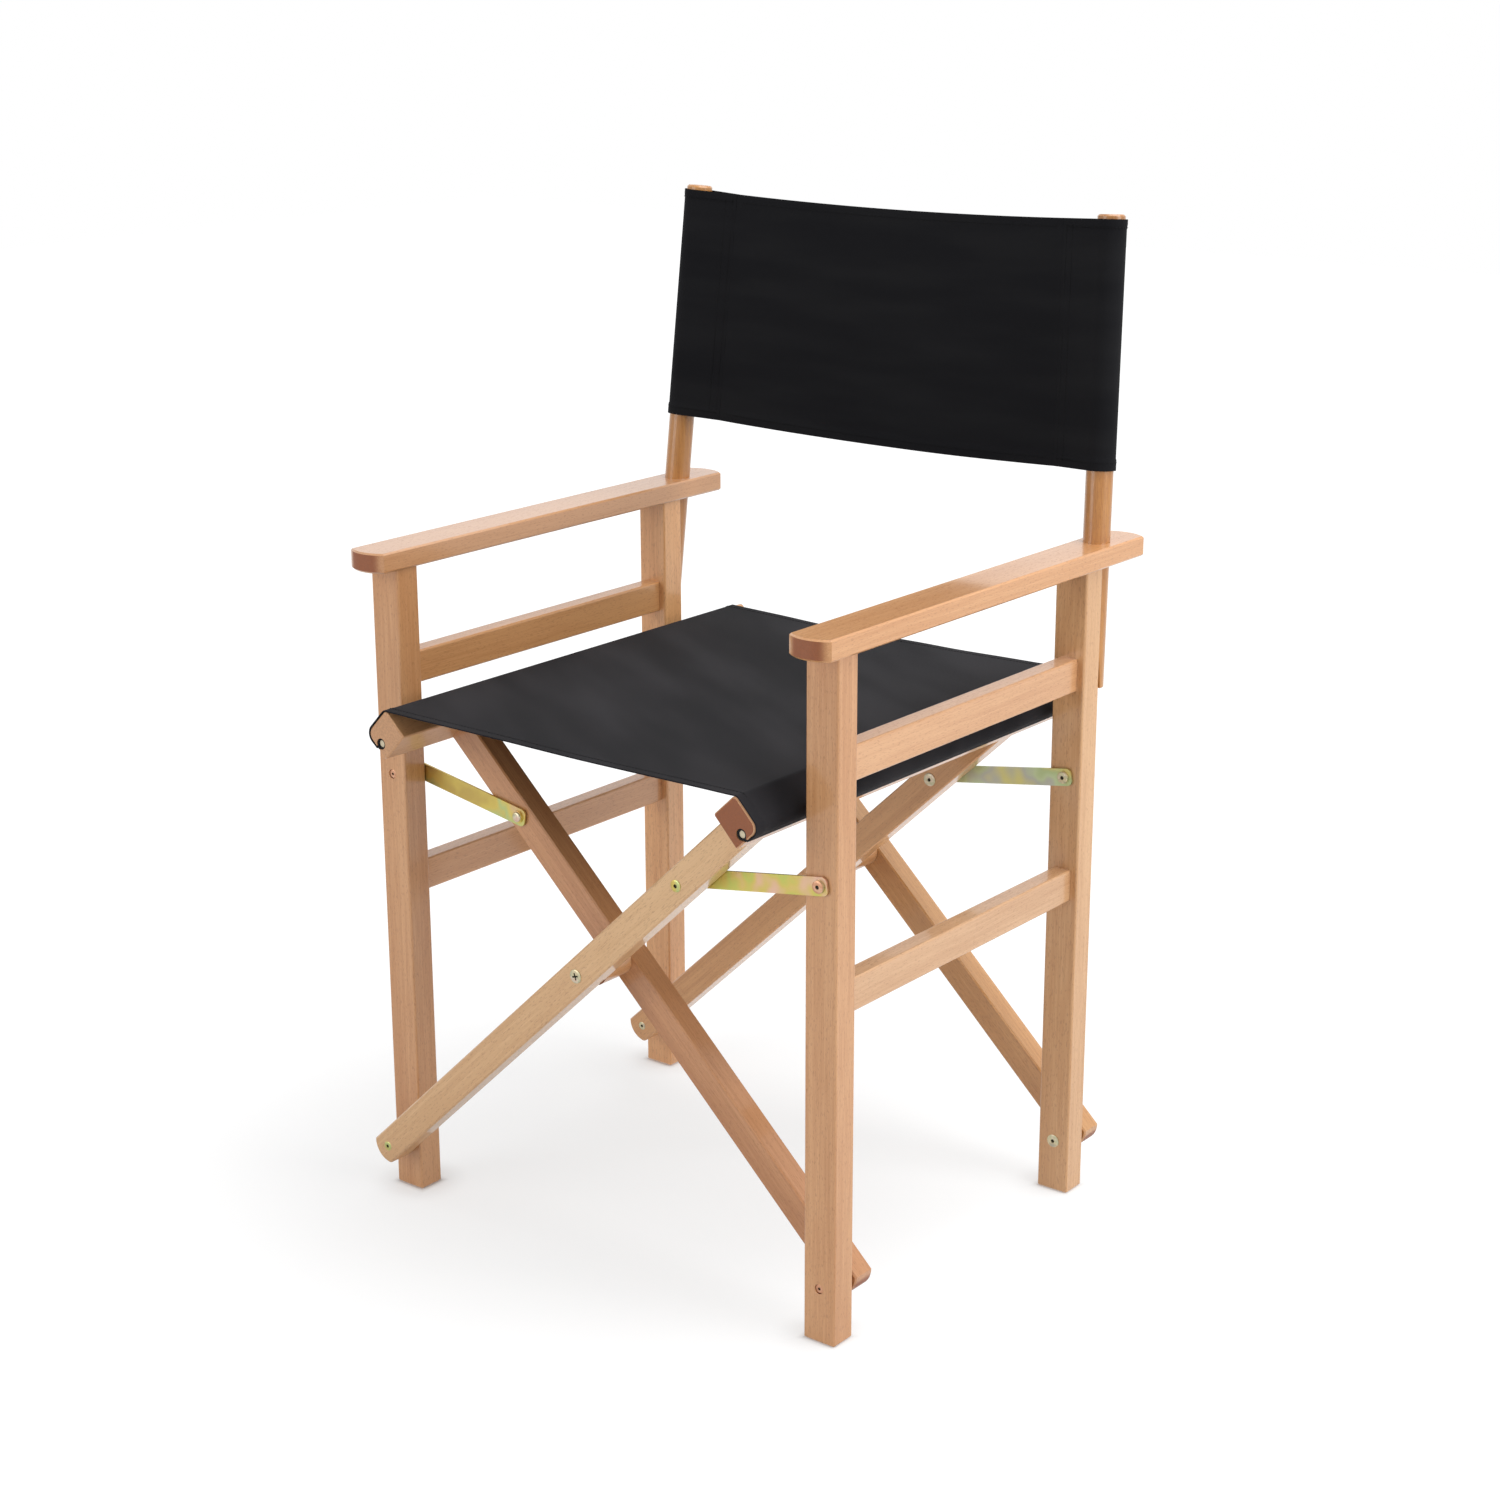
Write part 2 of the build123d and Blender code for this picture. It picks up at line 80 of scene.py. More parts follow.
camera_data = bpy.data.cameras.new("camera")
camera_data.lens = LENS
camera_data.sensor_width = SENSOR
camera = bpy.data.objects.new("camera", camera_data)
bpy.context.scene.collection.objects.link(camera)
camera.location = CAMERA_PLACE
roll = Quaternion((0.0, 0.0, 1.0), CAMERA_ROLL)
camera.rotation_euler = (facing(CAMERA_PLACE, CAMERA_TARGET) @ roll).to_euler()
bpy.context.scene.camera = camera
bpy.context.scene.view_settings.view_transform = "Standard"
print("camera", camera.location[:])


# %% [markdown]
# ## Writing shaders as expressions
# A finish is a handful of patterns multiplied and mixed. Linking each node by hand takes several lines
# for every sum, so a small class wraps a socket and lets the mathematics be written as plain Python,
# and one method adds any other node.

# %% Finish and Value
class Value:
    """A shader socket whose operators add Math nodes."""

    def __init__(self, finish, socket):
        self.finish = finish
        self.socket = socket

    def __add__(self, other):
        return self.finish.math("ADD", self, other)

    def __sub__(self, other):
        return self.finish.math("SUBTRACT", self, other)

    def __rsub__(self, other):
        return self.finish.math("SUBTRACT", other, self)

    def __mul__(self, other):
        return self.finish.math("MULTIPLY", self, other)

    def __abs__(self):
        return self.finish.math("ABSOLUTE", self)

    __radd__ = __add__
    __rmul__ = __mul__


class Finish:
    """A material, its shader, and the methods that add nodes to it."""

    def __init__(self, name):
        self.material = bpy.data.materials.new(name)
        self.material.use_nodes = True
        self.tree = self.material.node_tree
        self.shader = self.tree.nodes["Principled BSDF"]

    def link(self, socket, value):
        """Links a Value to a socket, or sets the socket to a plain number or colour."""
        if isinstance(value, Value):
            self.tree.links.new(value.socket, socket)
        else:
            socket.default_value = value

    def node(self, kind, settings, inputs, out=0):
        """Adds a node of any kind, with its settings and inputs, and gives one of its outputs."""
        made = self.tree.nodes.new(kind)
        for key, value in settings.items():
            if key == "stops":
                ramp = made.color_ramp
                while len(ramp.elements) < len(value):
                    ramp.elements.new(0.5)
                for element, (place, colour) in zip(ramp.elements, value):
                    element.position = place
                    element.color = colour
            else:
                setattr(made, key, value)
        for key, value in inputs.items():
            self.link(made.inputs[key], value)
        return Value(self, made.outputs[out])

    def math(self, operation, first, second=0.0):
        """A Math node, for the operators of Value and for what has no operator."""
        return self.node("ShaderNodeMath", {"operation": operation}, {0: first, 1: second})

    def mix(self, factor, first, second):
        """A colour between two colours."""
        settings = {"data_type": "RGBA"}
        return self.node("ShaderNodeMix", settings, {0: factor, 6: first, 7: second}, 2)

    def place(self):
        """Where a point is on the chair."""
        return self.node("ShaderNodeTexCoord", {}, {}, "Object")

    def part(self, vector, axis):
        """The X, Y or Z of a vector."""
        return self.node("ShaderNodeSeparateXYZ", {}, {"Vector": vector}, axis)

    def stretch(self, vector, scales):
        """A vector with each of its parts scaled."""
        return self.node("ShaderNodeVectorMath", {"operation": "MULTIPLY"}, {0: vector, 1: scales})

    def clouds(self, vector, scales, detail=2.0, rough=0.5):
        """Noise on a stretched vector, so large scales give small clouds."""
        stretched = self.stretch(vector, scales)
        inputs = {"Vector": stretched, "Scale": 1.0, "Detail": detail, "Roughness": rough}
        return self.node("ShaderNodeTexNoise", {}, inputs)

    def step(self, value, low, high):
        """A soft step, from 0 at low to 1 at high."""
        settings = {"interpolation_type": "SMOOTHSTEP"}
        inputs = {"Value": value, "From Min": low, "From Max": high}
        return self.node("ShaderNodeMapRange", settings, inputs)

    def bump(self, height, strength, distance):
        """Raises the surface by a pattern."""
        inputs = {"Height": height, "Strength": strength, "Distance": distance}
        self.set(Normal=self.node("ShaderNodeBump", {}, inputs))

    def set(self, **inputs):
        """Fills the shader's inputs, with _ for each space in their names."""
        for key, value in inputs.items():
            self.link(self.shader.inputs[key.replace("_", " ")], value)


def linear(red, green, blue):
    """A colour as the eye reads it, 0 to 255, turned into shader light."""
    shares = [v / 255 for v in (red, green, blue)]
    light = [((s + 0.055) / 1.055) ** 2.4 if s > 0.04 else s / 12.92 for s in shares]
    return (*light, 1.0)


print("shader classes ready")

# %% [markdown]
# ## Floor, backdrop and lamps
# A floor that is only lit looks grey, and one that only glows has no shadow, so this one mixes both. It
# glows for the camera and runs into the white backdrop, but under the chair part of the lit surface
# shows with its soft grey shadow. Round each foot less glow shows, which paints a darker shadow on the
# floor at the feet's resting places.
# The world shows white to the camera and to reflections, and lights evenly. A big soft lamp overhead
# and one at the right light the tops and right faces, and a weaker one in front opens the shadows.

# %% Floor
FLOOR_SIZE = 14.0
WHITE = (1.0, 1.0, 1.0, 1.0)
PAPER_COLOUR = (0.832, 0.84, 0.848, 1.0)
bpy.ops.mesh.primitive_plane_add(size=FLOOR_SIZE, location=(0.0, 0.0, 0.0))
floor = bpy.context.object
floor.name = "studio_floor"
paper = Finish("studio_paper")
paper.set(Base_Color=PAPER_COLOUR, Roughness=0.9, Specular_IOR_Level=0.0)
floor.data.materials.append(paper.material)
print("floor", FLOOR_SIZE, "m wide")

# %% Where the floor is white
GLOW = 1.13
SHADE_SHIFT = (0.14, 0.03, 0.0)
SHADE_REACH = (0.20, 0.72)
SHADE_WHITE = 0.58
MIRROR_REACH = (-0.6, 0.6)
MIRROR_WHITE = 0.8
LEG_X = 241.5 * MM
FEET_Y = 182.5 * MM
FEET_MIDDLE = -7.3 * MM
FOOT_HALF_X = 16.0 * MM
FOOT_HALF_Y = 13.0 * MM


def painted_foot_shadow(distance, start, end, depth):
    """How much glow a foot's painted shadow takes from the floor: all of depth up to start, and none
    from end on.
    """
    return depth * (1.0 - paper.step(distance, start, end))


seen = paper.node("ShaderNodeLightPath", {}, {}, "Is Camera Ray")
mirrored = paper.node("ShaderNodeLightPath", {}, {}, "Is Glossy Ray")
through = paper.node("ShaderNodeLightPath", {}, {}, "Is Transmission Ray")
spot = paper.place()
behind = paper.part(spot, "Y")
from_shade = paper.node("ShaderNodeVectorMath", {"operation": "ADD"}, {0: spot, 1: SHADE_SHIFT})
away = paper.node("ShaderNodeVectorMath", {"operation": "LENGTH"}, {0: from_shade}, "Value")
foot_x = abs(paper.part(spot, "X")) - LEG_X
foot_y = abs(behind - FEET_MIDDLE) - FEET_Y
from_foot = paper.math("SQRT", foot_x * foot_x + foot_y * foot_y)
beside_foot = paper.math("MAXIMUM", abs(foot_x) - FOOT_HALF_X, abs(foot_y) - FOOT_HALF_Y)
white = SHADE_WHITE + (1.0 - SHADE_WHITE) * paper.step(away, *SHADE_REACH)
# Painted shadow round each foot, at the feet's resting places: less glow shows there, so the floor is
# darker.
white = white - painted_foot_shadow(from_foot, 12.0 * MM, 52.0 * MM, 0.18)
white = white - painted_foot_shadow(beside_foot, -1.0 * MM, 7.0 * MM, 0.26)
white = white - painted_foot_shadow(beside_foot, 0.0, 1.6 * MM, 0.14)
mirror_white = MIRROR_WHITE * (mirrored * paper.step(behind, *MIRROR_REACH))
glow = paper.node("ShaderNodeEmission", {}, {"Color": WHITE, "Strength": GLOW})
lit = Value(paper, paper.shader.outputs[0])
share = (seen + through) * white + mirror_white
shown_paper = paper.node("ShaderNodeMixShader", {}, {0: share, 1: lit, 2: glow})
paper.link(paper.tree.nodes["Material Output"].inputs["Surface"], shown_paper)
print("floor nodes", len(paper.tree.nodes))

# %% Backdrop
AIR_LIGHT = 0.52
AIR_SHOWN = 1.0
world = bpy.data.worlds.new("studio_air")
bpy.context.scene.world = world
world.use_nodes = True
air = world.node_tree
path = air.nodes.new("ShaderNodeLightPath")
glossy_or_through = air.nodes.new("ShaderNodeMath")
air.links.new(path.outputs["Is Glossy Ray"], glossy_or_through.inputs[0])
air.links.new(path.outputs["Is Transmission Ray"], glossy_or_through.inputs[1])
shown = air.nodes.new("ShaderNodeMath")
shown.operation = "MAXIMUM"
air.links.new(path.outputs["Is Camera Ray"], shown.inputs[0])
air.links.new(glossy_or_through.outputs[0], shown.inputs[1])
level = air.nodes.new("ShaderNodeMapRange")
level.inputs["To Min"].default_value = AIR_LIGHT
level.inputs["To Max"].default_value = AIR_SHOWN
air.links.new(shown.outputs[0], level.inputs["Value"])
background = air.nodes["Background"]
background.inputs["Color"].default_value = WHITE
air.links.new(level.outputs[0], background.inputs["Strength"])
print("backdrop lights at", AIR_LIGHT, "and shows at", AIR_SHOWN)


# %% Lamps
def soft_lamp(name, place, target, size, watts):
    """A square area lamp that points at a target."""
    data = bpy.data.lights.new(name, "AREA")
    data.size = size
    data.energy = watts
    lamp = bpy.data.objects.new(name, data)
    bpy.context.scene.collection.objects.link(lamp)
    lamp.location = place
    lamp.rotation_euler = facing(place, target).to_euler()
    print(name, watts, "W")


soft_lamp("lamp_over", (0.7, 0.5, 2.7), (0.0, 0.0, 0.4), 2.0, 45.0)
soft_lamp("lamp_right", (2.7, 0.5, 1.4), (0.0, 0.0, 0.5), 1.6, 30.0)
soft_lamp("lamp_front", (-1.2, -2.7, 1.3), (-0.1, 0.0, 0.4), 1.8, 24.0)

# %% [markdown]
# ## Beech
# Beech is a pale, even wood. What tells it apart is a haze of short brown rays, a few millimetres
# long, that lie along the grain, and a darker red-brown where a board is cut across. The pattern is
# turned so that its own Z runs along each board, and stretched that way. Clear lacquer is a coat. A
# picture of wood could be wrapped on, but noise has no seams and differs from piece to piece. One
# function makes all the boards and a table holds their tones, which were matched piece by piece to how
# light each looks, so they hold painted light and shade as well as the wood's own differences.

# %% Beech finish
BAR_ANGLE = 43.5
GRAIN_UP = (0.0, 0.0, 0.0)
GRAIN_BACK = (math.radians(90.0), 0.0, 0.0)
GRAIN_RISING_RIGHT = (0.0, math.radians(BAR_ANGLE - 90.0), 0.0)
GRAIN_RISING_LEFT = (0.0, math.radians(90.0 - BAR_ANGLE), 0.0)
SWAY_SCALES = (30.0, 30.0, 9.0)
SWAY_REACH = (4.0 * MM, 4.0 * MM, 0.0)
BROAD_SCALES = (24.0, 24.0, 2.0)
RING_SCALES = (330.0, 330.0, 6.0)
LINE_SCALES = (1100.0, 1100.0, 26.0)
RAY_SCALES = (1150.0, 1150.0, 240.0)
PORE_SCALES = (620.0, 620.0, 620.0)
RAY_BROWN = linear(128, 76, 42)
PORE_BROWN = linear(96, 56, 32)
RED_END = linear(140, 74, 34)
PALE_END = linear(198, 150, 110)
SATIN = 0.62
POLISHED = 0.8


def beech(name, grain, pale, deep, end=RED_END, gloss=SATIN):
    """Lacquered beech whose grain runs along a turned Z, between two tones."""
    wood = Finish(name)
    turned = {"Vector": wood.place(), "Rotation": grain}
    board = wood.node("ShaderNodeMapping", {}, turned)
    sway = wood.stretch(wood.clouds(board, SWAY_SCALES, 1.0), SWAY_REACH)
    swayed = wood.node("ShaderNodeVectorMath", {"operation": "ADD"}, {0: board, 1: sway})
    broad = wood.clouds(swayed, BROAD_SCALES, 3.0)
    rings = wood.clouds(swayed, RING_SCALES, 3.0, 0.6)
    lines = wood.clouds(swayed, LINE_SCALES)
    ray = wood.step(wood.clouds(board, RAY_SCALES, 1.0, 0.4), 0.60, 0.68)
    tone = wood.step(0.46 * broad + 0.30 * rings + 0.24 * lines, 0.38, 0.62)
    colour = wood.mix(tone, linear(*deep), linear(*pale))
    colour = wood.mix(0.27 * ray, colour, RAY_BROWN)
    faces = {"Vector": wood.node("ShaderNodeTexCoord", {}, {}, "Normal"), "Rotation": grain}
    along = wood.node("ShaderNodeMapping", {"vector_type": "NORMAL"}, faces)
    across_cut = wood.step(abs(wood.part(along, "Z")), 0.82, 0.95)
    pores = wood.step(wood.clouds(board, PORE_SCALES, 3.0), 0.30, 0.70)
    end_colour = wood.mix(pores, wood.mix(0.25, end, PORE_BROWN), end)
    colour = wood.mix(across_cut * 0.95, colour, end_colour)
    wood.set(Base_Color=colour, Roughness=0.36 + 0.10 * ray + 0.18 * across_cut)
    wood.set(Coat_Weight=gloss * (1.0 - 0.8 * across_cut), Coat_Roughness=0.09)
    wood.bump(0.7 * (1.0 - ray) + 0.3 * lines, 0.07, 0.0004)
    return wood.material


def paint(piece, material):
    """Gives a piece one material in place of those it had."""
    piece.data.materials.clear()
    piece.data.materials.append(material)


def finish_for(name, finishes):
    """The first finish whose word is in a node's name, or None."""
    return next((finishes[word] for word in finishes if word in name), None)


print("grain directions ready for bars at", BAR_ANGLE, "degrees")

# %% Boards
# Each piece's tones: partly the wood's own, partly painted light and shade, such as the darker left
# armrest and rising-left bars and the lighter left rear leg.
BOARD_TONES_AND_PAINTED_LIGHT = {
    "rear_leg_right": (GRAIN_UP, (212, 166, 119), (193, 142, 93)),
    "rear_leg_left": (GRAIN_UP, (226, 171, 118), (206, 146, 92)),
    "upper_side_rail_left": (GRAIN_BACK, (200, 147, 96), (184, 129, 80)),
    "lower_side_rail_right": (GRAIN_BACK, (211, 167, 125), (194, 147, 104)),
    "armrest_left": (GRAIN_BACK, (200, 148, 104), (184, 129, 83), RED_END, POLISHED),
    "leg": (GRAIN_UP, (209, 157, 110), (190, 134, 86)),
    "side_rail": (GRAIN_BACK, (214, 164, 119), (197, 144, 99)),
    "armrest": (GRAIN_BACK, (216, 162, 112), (199, 141, 89), RED_END, POLISHED),
    "seat_rail_right": (GRAIN_BACK, (205, 152, 106), (186, 130, 84)),
    "seat_rail_left": (GRAIN_BACK, (207, 158, 112), (190, 138, 92), PALE_END),
    "upright": (GRAIN_UP, (186, 128, 62), (163, 105, 44), PALE_END),
    "rear_bar_rising_right": (GRAIN_RISING_RIGHT, (214, 160, 106), (195, 139, 86)),
    "rear_bar_rising_left": (GRAIN_RISING_LEFT, (208, 157, 104), (186, 133, 81)),
    "rising_right": (GRAIN_RISING_RIGHT, (219, 178, 130), (203, 158, 110)),
    "rising_left": (GRAIN_RISING_LEFT, (197, 141, 95), (176, 119, 74)),
    "spacers": (GRAIN_BACK, (207, 156, 109), (188, 135, 88)),
}
WOODS = {word: beech("beech_" + word, *board) for word, board in BOARD_TONES_AND_PAINTED_LIGHT.items()}
wooden = [name for name in nodes if finish_for(name, WOODS) and "bolts" not in name]
for name in wooden:
    paint(nodes[name], finish_for(name, WOODS))
print("beech on", len(wooden), "pieces")

# %% [markdown]
# ## Metal and plastic
# The straps and bolts are steel with a yellow zinc coat, which shimmers from gold to green and pink.
# One gold would look like paint, so slow clouds of noise run through a colour ramp. The two straps on
# the right have colours of their own, and on the front one they also drift along its length. The
# washers are near-black nylon, a dark that also paints the shade in the narrow gaps where they sit,
# and the rods in the seat's edges are cream plastic.

# %% Metal and plastic finishes
ZINC_STOPS = (0.30, 0.42, 0.50, 0.58, 0.72)
SCUFF_SCALES = (900.0, 900.0, 900.0)
SKIN_SCALES = (420.0, 420.0, 420.0)


def zinc(name, cloud_scale, colours, lean=0.0, level_at=0.0):
    """Steel with a shimmering zinc coat, in five colours; lean moves it through them along X."""
    metal = Finish(name)
    place = metal.place()
    shimmer = metal.clouds(place, (cloud_scale, cloud_scale, cloud_scale), 2.0, 0.6)
    if lean:
        shimmer = shimmer + lean * (metal.part(place, "X") - level_at)
    stops = [(at, linear(*colour)) for at, colour in zip(ZINC_STOPS, colours)]
    colour = metal.node("ShaderNodeValToRGB", {"stops": stops}, {"Fac": shimmer})
    scuffs = metal.clouds(place, SCUFF_SCALES)
    metal.set(Base_Color=colour, Metallic=0.9, Roughness=0.30 + 0.16 * scuffs)
    metal.bump(scuffs, 0.04, 0.0002)
    return metal.material


def plastic(name, colour, second_tone, shine=0.5):
    """A moulded plastic with a faint uneven skin."""
    resin = Finish(name)
    skin = resin.clouds(resin.place(), SKIN_SCALES, 3.0)
    resin.set(Base_Color=resin.mix(skin, colour, second_tone), Roughness=0.42 + 0.16 * skin)
    resin.set(Specular_IOR_Level=shine)
    resin.bump(skin, 0.05, 0.0002)
    return resin.material


print("zinc in", len(ZINC_STOPS), "colours")

# %% Metal and plastic pieces
YELLOW = ((194, 168, 96), (210, 188, 102), (184, 194, 132), (214, 194, 108), (214, 178, 142))
SILVER = ((174, 166, 146), (210, 196, 160), (188, 186, 154), (216, 202, 178), (216, 184, 164))
COPPERY = ((192, 138, 110), (214, 164, 132), (202, 148, 116), (222, 178, 148), (196, 142, 114))
ROSY = ((204, 186, 98), (192, 196, 104), (210, 190, 108), (220, 184, 146), (226, 184, 172))
GREENISH = ((212, 198, 122), (180, 196, 146), (192, 206, 164), (184, 186, 174), (210, 204, 138))
# Near-black zinc for the inside of the drive recesses: painted shade in the hollows.
SOCKET_PAINTED_SHADE = ((44, 40, 34), (56, 50, 40), (48, 46, 38), (60, 54, 44), (58, 48, 42))
FRONT_STRAP_LEAN = 2.4
FRONT_STRAP_MIDDLE = 0.195
strap_zinc = zinc("zinc_straps", 26.0, YELLOW)
bolt_zinc = zinc("zinc_bolts", 90.0, SILVER)
coppery_zinc = zinc("zinc_warm_bolts", 90.0, COPPERY)
painted_socket_shade = zinc("zinc_sockets_painted_shade", 90.0, SOCKET_PAINTED_SHADE)
rosy_zinc = zinc("zinc_front_strap_right", 30.0, ROSY, FRONT_STRAP_LEAN, FRONT_STRAP_MIDDLE)
METALS = {
    "front_strap_right": rosy_zinc,
    "rear_strap_right": zinc("zinc_rear_strap_right", 22.0, GREENISH),
    "strap_left": strap_zinc,
    "bolts": bolt_zinc,
    # Near-black washers, whose dark also paints the shade in the gaps between bars and legs.
    "washers": plastic("nylon_washers_painted_gap_shade", linear(26, 26, 27), linear(40, 40, 41)),
    "seat_rod": plastic("rod_plastic", linear(226, 214, 186), linear(210, 196, 164)),
}
metallic = [name for name in nodes if finish_for(name, METALS)]
for name in metallic:
    paint(nodes[name], finish_for(name, METALS))
print("metal and plastic on", len(metallic), "pieces")

# %% [markdown]
# ## Canvas
# The cloth is a heavy black plain weave. Its threads are about a millimetre apart, so from a step away
# only the soft sheen of the fibres shows. Modelled threads would take millions of faces, so two sine
# waves raise the weave as a bump. It follows the cloth's own flat coordinates, which each canvas
# stores as a UV map in metres. Lighter streaks at a slant are painted sheen, standing in for the light
# caught by the cloth's slight tension folds. The seat's tones are lighter than the back's, which paints
# in the extra light that the seat takes from above.

# %% Canvas finish
THREAD_PITCH = 0.9 * MM
SLUB_SCALES = (900.0, 120.0, 1.0)
SEAT_SLANT = math.radians(32.0)
SEAT_STREAKS = (3.0, 13.0, 1.0)
BACK_STREAKS = (5.0, 30.0, 1.0)


def canvas(name, colour, second_tone, sheen, slant, streaks):
    """Plain-weave cotton duck, with lighter painted sheen in soft streaks that lie at a slant."""
    cloth = Finish(name)
    flat = cloth.node("ShaderNodeUVMap", {"uv_map": "flat_cut"}, {})
    turns = 2.0 * math.pi / THREAD_PITCH
    warp = cloth.math("SINE", cloth.part(flat, "X") * turns)
    weft = cloth.math("SINE", cloth.part(flat, "Y") * turns)
    weave = 0.5 + 0.5 * (warp * weft)
    slanted = {"Vector": flat, "Rotation": (0.0, 0.0, slant)}
    # Painted sheen: soft lighter streaks at a slant, standing in for light on tension folds; the second
    # tone also shows in the real slubs and weave.
    painted_sheen_streaks = cloth.clouds(cloth.node("ShaderNodeMapping", {}, slanted), streaks)
    slubs = cloth.clouds(flat, SLUB_SCALES)
    shade = 0.66 * cloth.step(painted_sheen_streaks, 0.36, 0.66) + 0.18 * slubs + 0.16 * weave
    cloth.set(Base_Color=cloth.mix(shade, colour, second_tone), Roughness=0.78 + 0.12 * slubs)
    cloth.set(Sheen_Weight=sheen, Sheen_Roughness=0.45, Sheen_Tint=WHITE)
    cloth.set(Specular_IOR_Level=0.08)
    cloth.bump(weave + 0.5 * slubs, 0.25, 0.00025)
    return cloth.material


# The seat's lighter tones paint in the extra light it gets from above.
seat_tones = (linear(21, 21, 24), linear(45, 44, 47))
back_tones = (linear(20, 20, 23), linear(28, 28, 30))
seat_cloth = canvas("canvas_seat", *seat_tones, 0.03, SEAT_SLANT, SEAT_STREAKS)
back_cloth = canvas("canvas_back", *back_tones, 0.02, 0.0, BACK_STREAKS)
thread = plastic("sewing_thread", linear(15, 15, 16), linear(22, 22, 24), 0.06)
print("canvas and thread ready")

# %% [markdown]
# ## Cutting a cloth
# A sheet starts as the flat cut: a grid with as many columns as the line it will follow has points.
# Each column is then laid on one point of that line, so the cloth keeps its true length, and its UV
# map holds the flat distances. Its rows lie close together in the hems, which are turned and so stand
# out a little. Solidify gives the cloth its thickness. A simulation could drape it, but a stretched
# cloth is set by what it is stretched on, and laying it keeps that line exact.

# %% Cloth helpers
CLOTH = 1.2 * MM
CLOTH_GAP = 0.3 * MM
EDGE_STEP = 0.8 * MM
HEM_STEP = 1.2 * MM
SMOOTH_ANGLE = math.radians(50.0)


def lengths_along(line):
    """The distance along a line of points, at each of its points."""
    total = [0.0]
    for before, after in zip(line, line[1:]):
        total.append(total[-1] + (Vector(after) - Vector(before)).length)
    return total


def hemmed_rows(length, hem, inside, count):
    """The rows of a cloth as distances from one edge: close in both hems, and even between."""
    first = [0.0, EDGE_STEP, *inside, hem, hem + HEM_STEP]
    middle = length - 2 * first[-1]
    between = [first[-1] + middle * k / count for k in range(1, count)]
    return first + between + [length - d for d in reversed(first)]


def cut_cloth(name, across, down, place, finish):
    """A grid laid by place(column, row), with the flat distances across and down as its UV map."""
    columns = len(across)
    rows = len(down)
    bpy.ops.object.select_all(action="DESELECT")
    bpy.ops.mesh.primitive_grid_add(x_subdivisions=columns - 1, y_subdivisions=rows - 1, size=2.0)
    cloth = bpy.context.object
    cloth.name = name
    mesh = cloth.data
    mesh.name = name
    index = []
    for vertex in mesh.vertices:
        column = round((vertex.co.x + 1.0) / 2.0 * (columns - 1))
        row = round((vertex.co.y + 1.0) / 2.0 * (rows - 1))
        index.append((column, row))
    for vertex, (column, row) in zip(mesh.vertices, index):
        vertex.co = place(column, row)
    flat = mesh.uv_layers[0]
    flat.name = "flat_cut"
    for loop in mesh.loops:
        column, row = index[loop.vertex_index]
        flat.data[loop.index].uv = (across[column], down[row])
    mesh.materials.append(finish)
    return cloth


def finish_piece(piece):
    """Applies a piece's modifiers and shades it smooth, with the edges kept crisp."""
    bpy.ops.object.select_all(action="DESELECT")
    piece.select_set(True)
    bpy.context.view_layer.objects.active = piece
    for modifier in list(piece.modifiers):
        bpy.ops.object.modifier_apply(modifier=modifier.name)
    bpy.ops.object.shade_smooth_by_angle(angle=SMOOTH_ANGLE)
    return piece


def thicken(cloth):
    """Gives a cloth its thickness, with the grid in the middle of it."""
    wall = cloth.modifiers.new("thickness", "SOLIDIFY")
    wall.thickness = CLOTH
    wall.offset = 0.0
    wall.use_even_offset = True
    return finish_piece(cloth)


print("cloth", CLOTH, "m thick")

# %% [markdown]
# ## The seat canvas
# The seat hangs in a shallow arc from rail to rail, wraps over each rail's rounded corners, and goes
# into the keyhole groove, where it is turned round a rod so that it can't pull out. Half of that line
# is written as arcs and straight runs and then mirrored. Between the rails the front and rear edges
# are drawn in a little, as those of any stretched cloth are.

# %% The rail and the ways round it
COS = math.cos(math.radians(BAR_ANGLE))
SIN = math.sin(math.radians(BAR_ANGLE))
RAIL_X = 195.18 * MM
RAIL_Z = 464.39 * MM
RAIL_DEPTH = 30.0 * MM
RAIL_WIDTH = 34.0 * MM
RAIL_CORNER = 4.0 * MM
RAIL_OUTER_CORNER = 8.0 * MM
GROOVE_ALONG = -2.0 * MM
GROOVE_NECK = 0.75 * MM
LIP_TURN = 1.2 * MM
ROD_ACROSS = -10.5 * MM
ROD_RADIUS = 3.25 * MM
SEAT_SAG = 2.0 * MM


def on_rail(along, across):
    """A point of the right rail's section, along and across the bar that carries it."""
    return (RAIL_X + along * COS - across * SIN, RAIL_Z + along * SIN + across * COS)


def arc(centre, radius, start, end, steps):
    """Points of an arc in degrees, its first point left out."""
    found = []
    for step in range(1, steps + 1):
        angle = math.radians(start + (end - start) * step / steps)
        found.append((centre[0] + radius * math.cos(angle), centre[1] + radius * math.sin(angle)))
    return found


def run(start, end, steps):
    """Points of a straight run, its first point left out."""
    found = []
    for step in range(1, steps + 1):
        t = step / steps
        found.append((start[0] + (end[0] - start[0]) * t, start[1] + (end[1] - start[1]) * t))
    return found


print("right rail's top corner", [round(v, 4) for v in on_rail(RAIL_DEPTH / 2, RAIL_WIDTH / 2)])


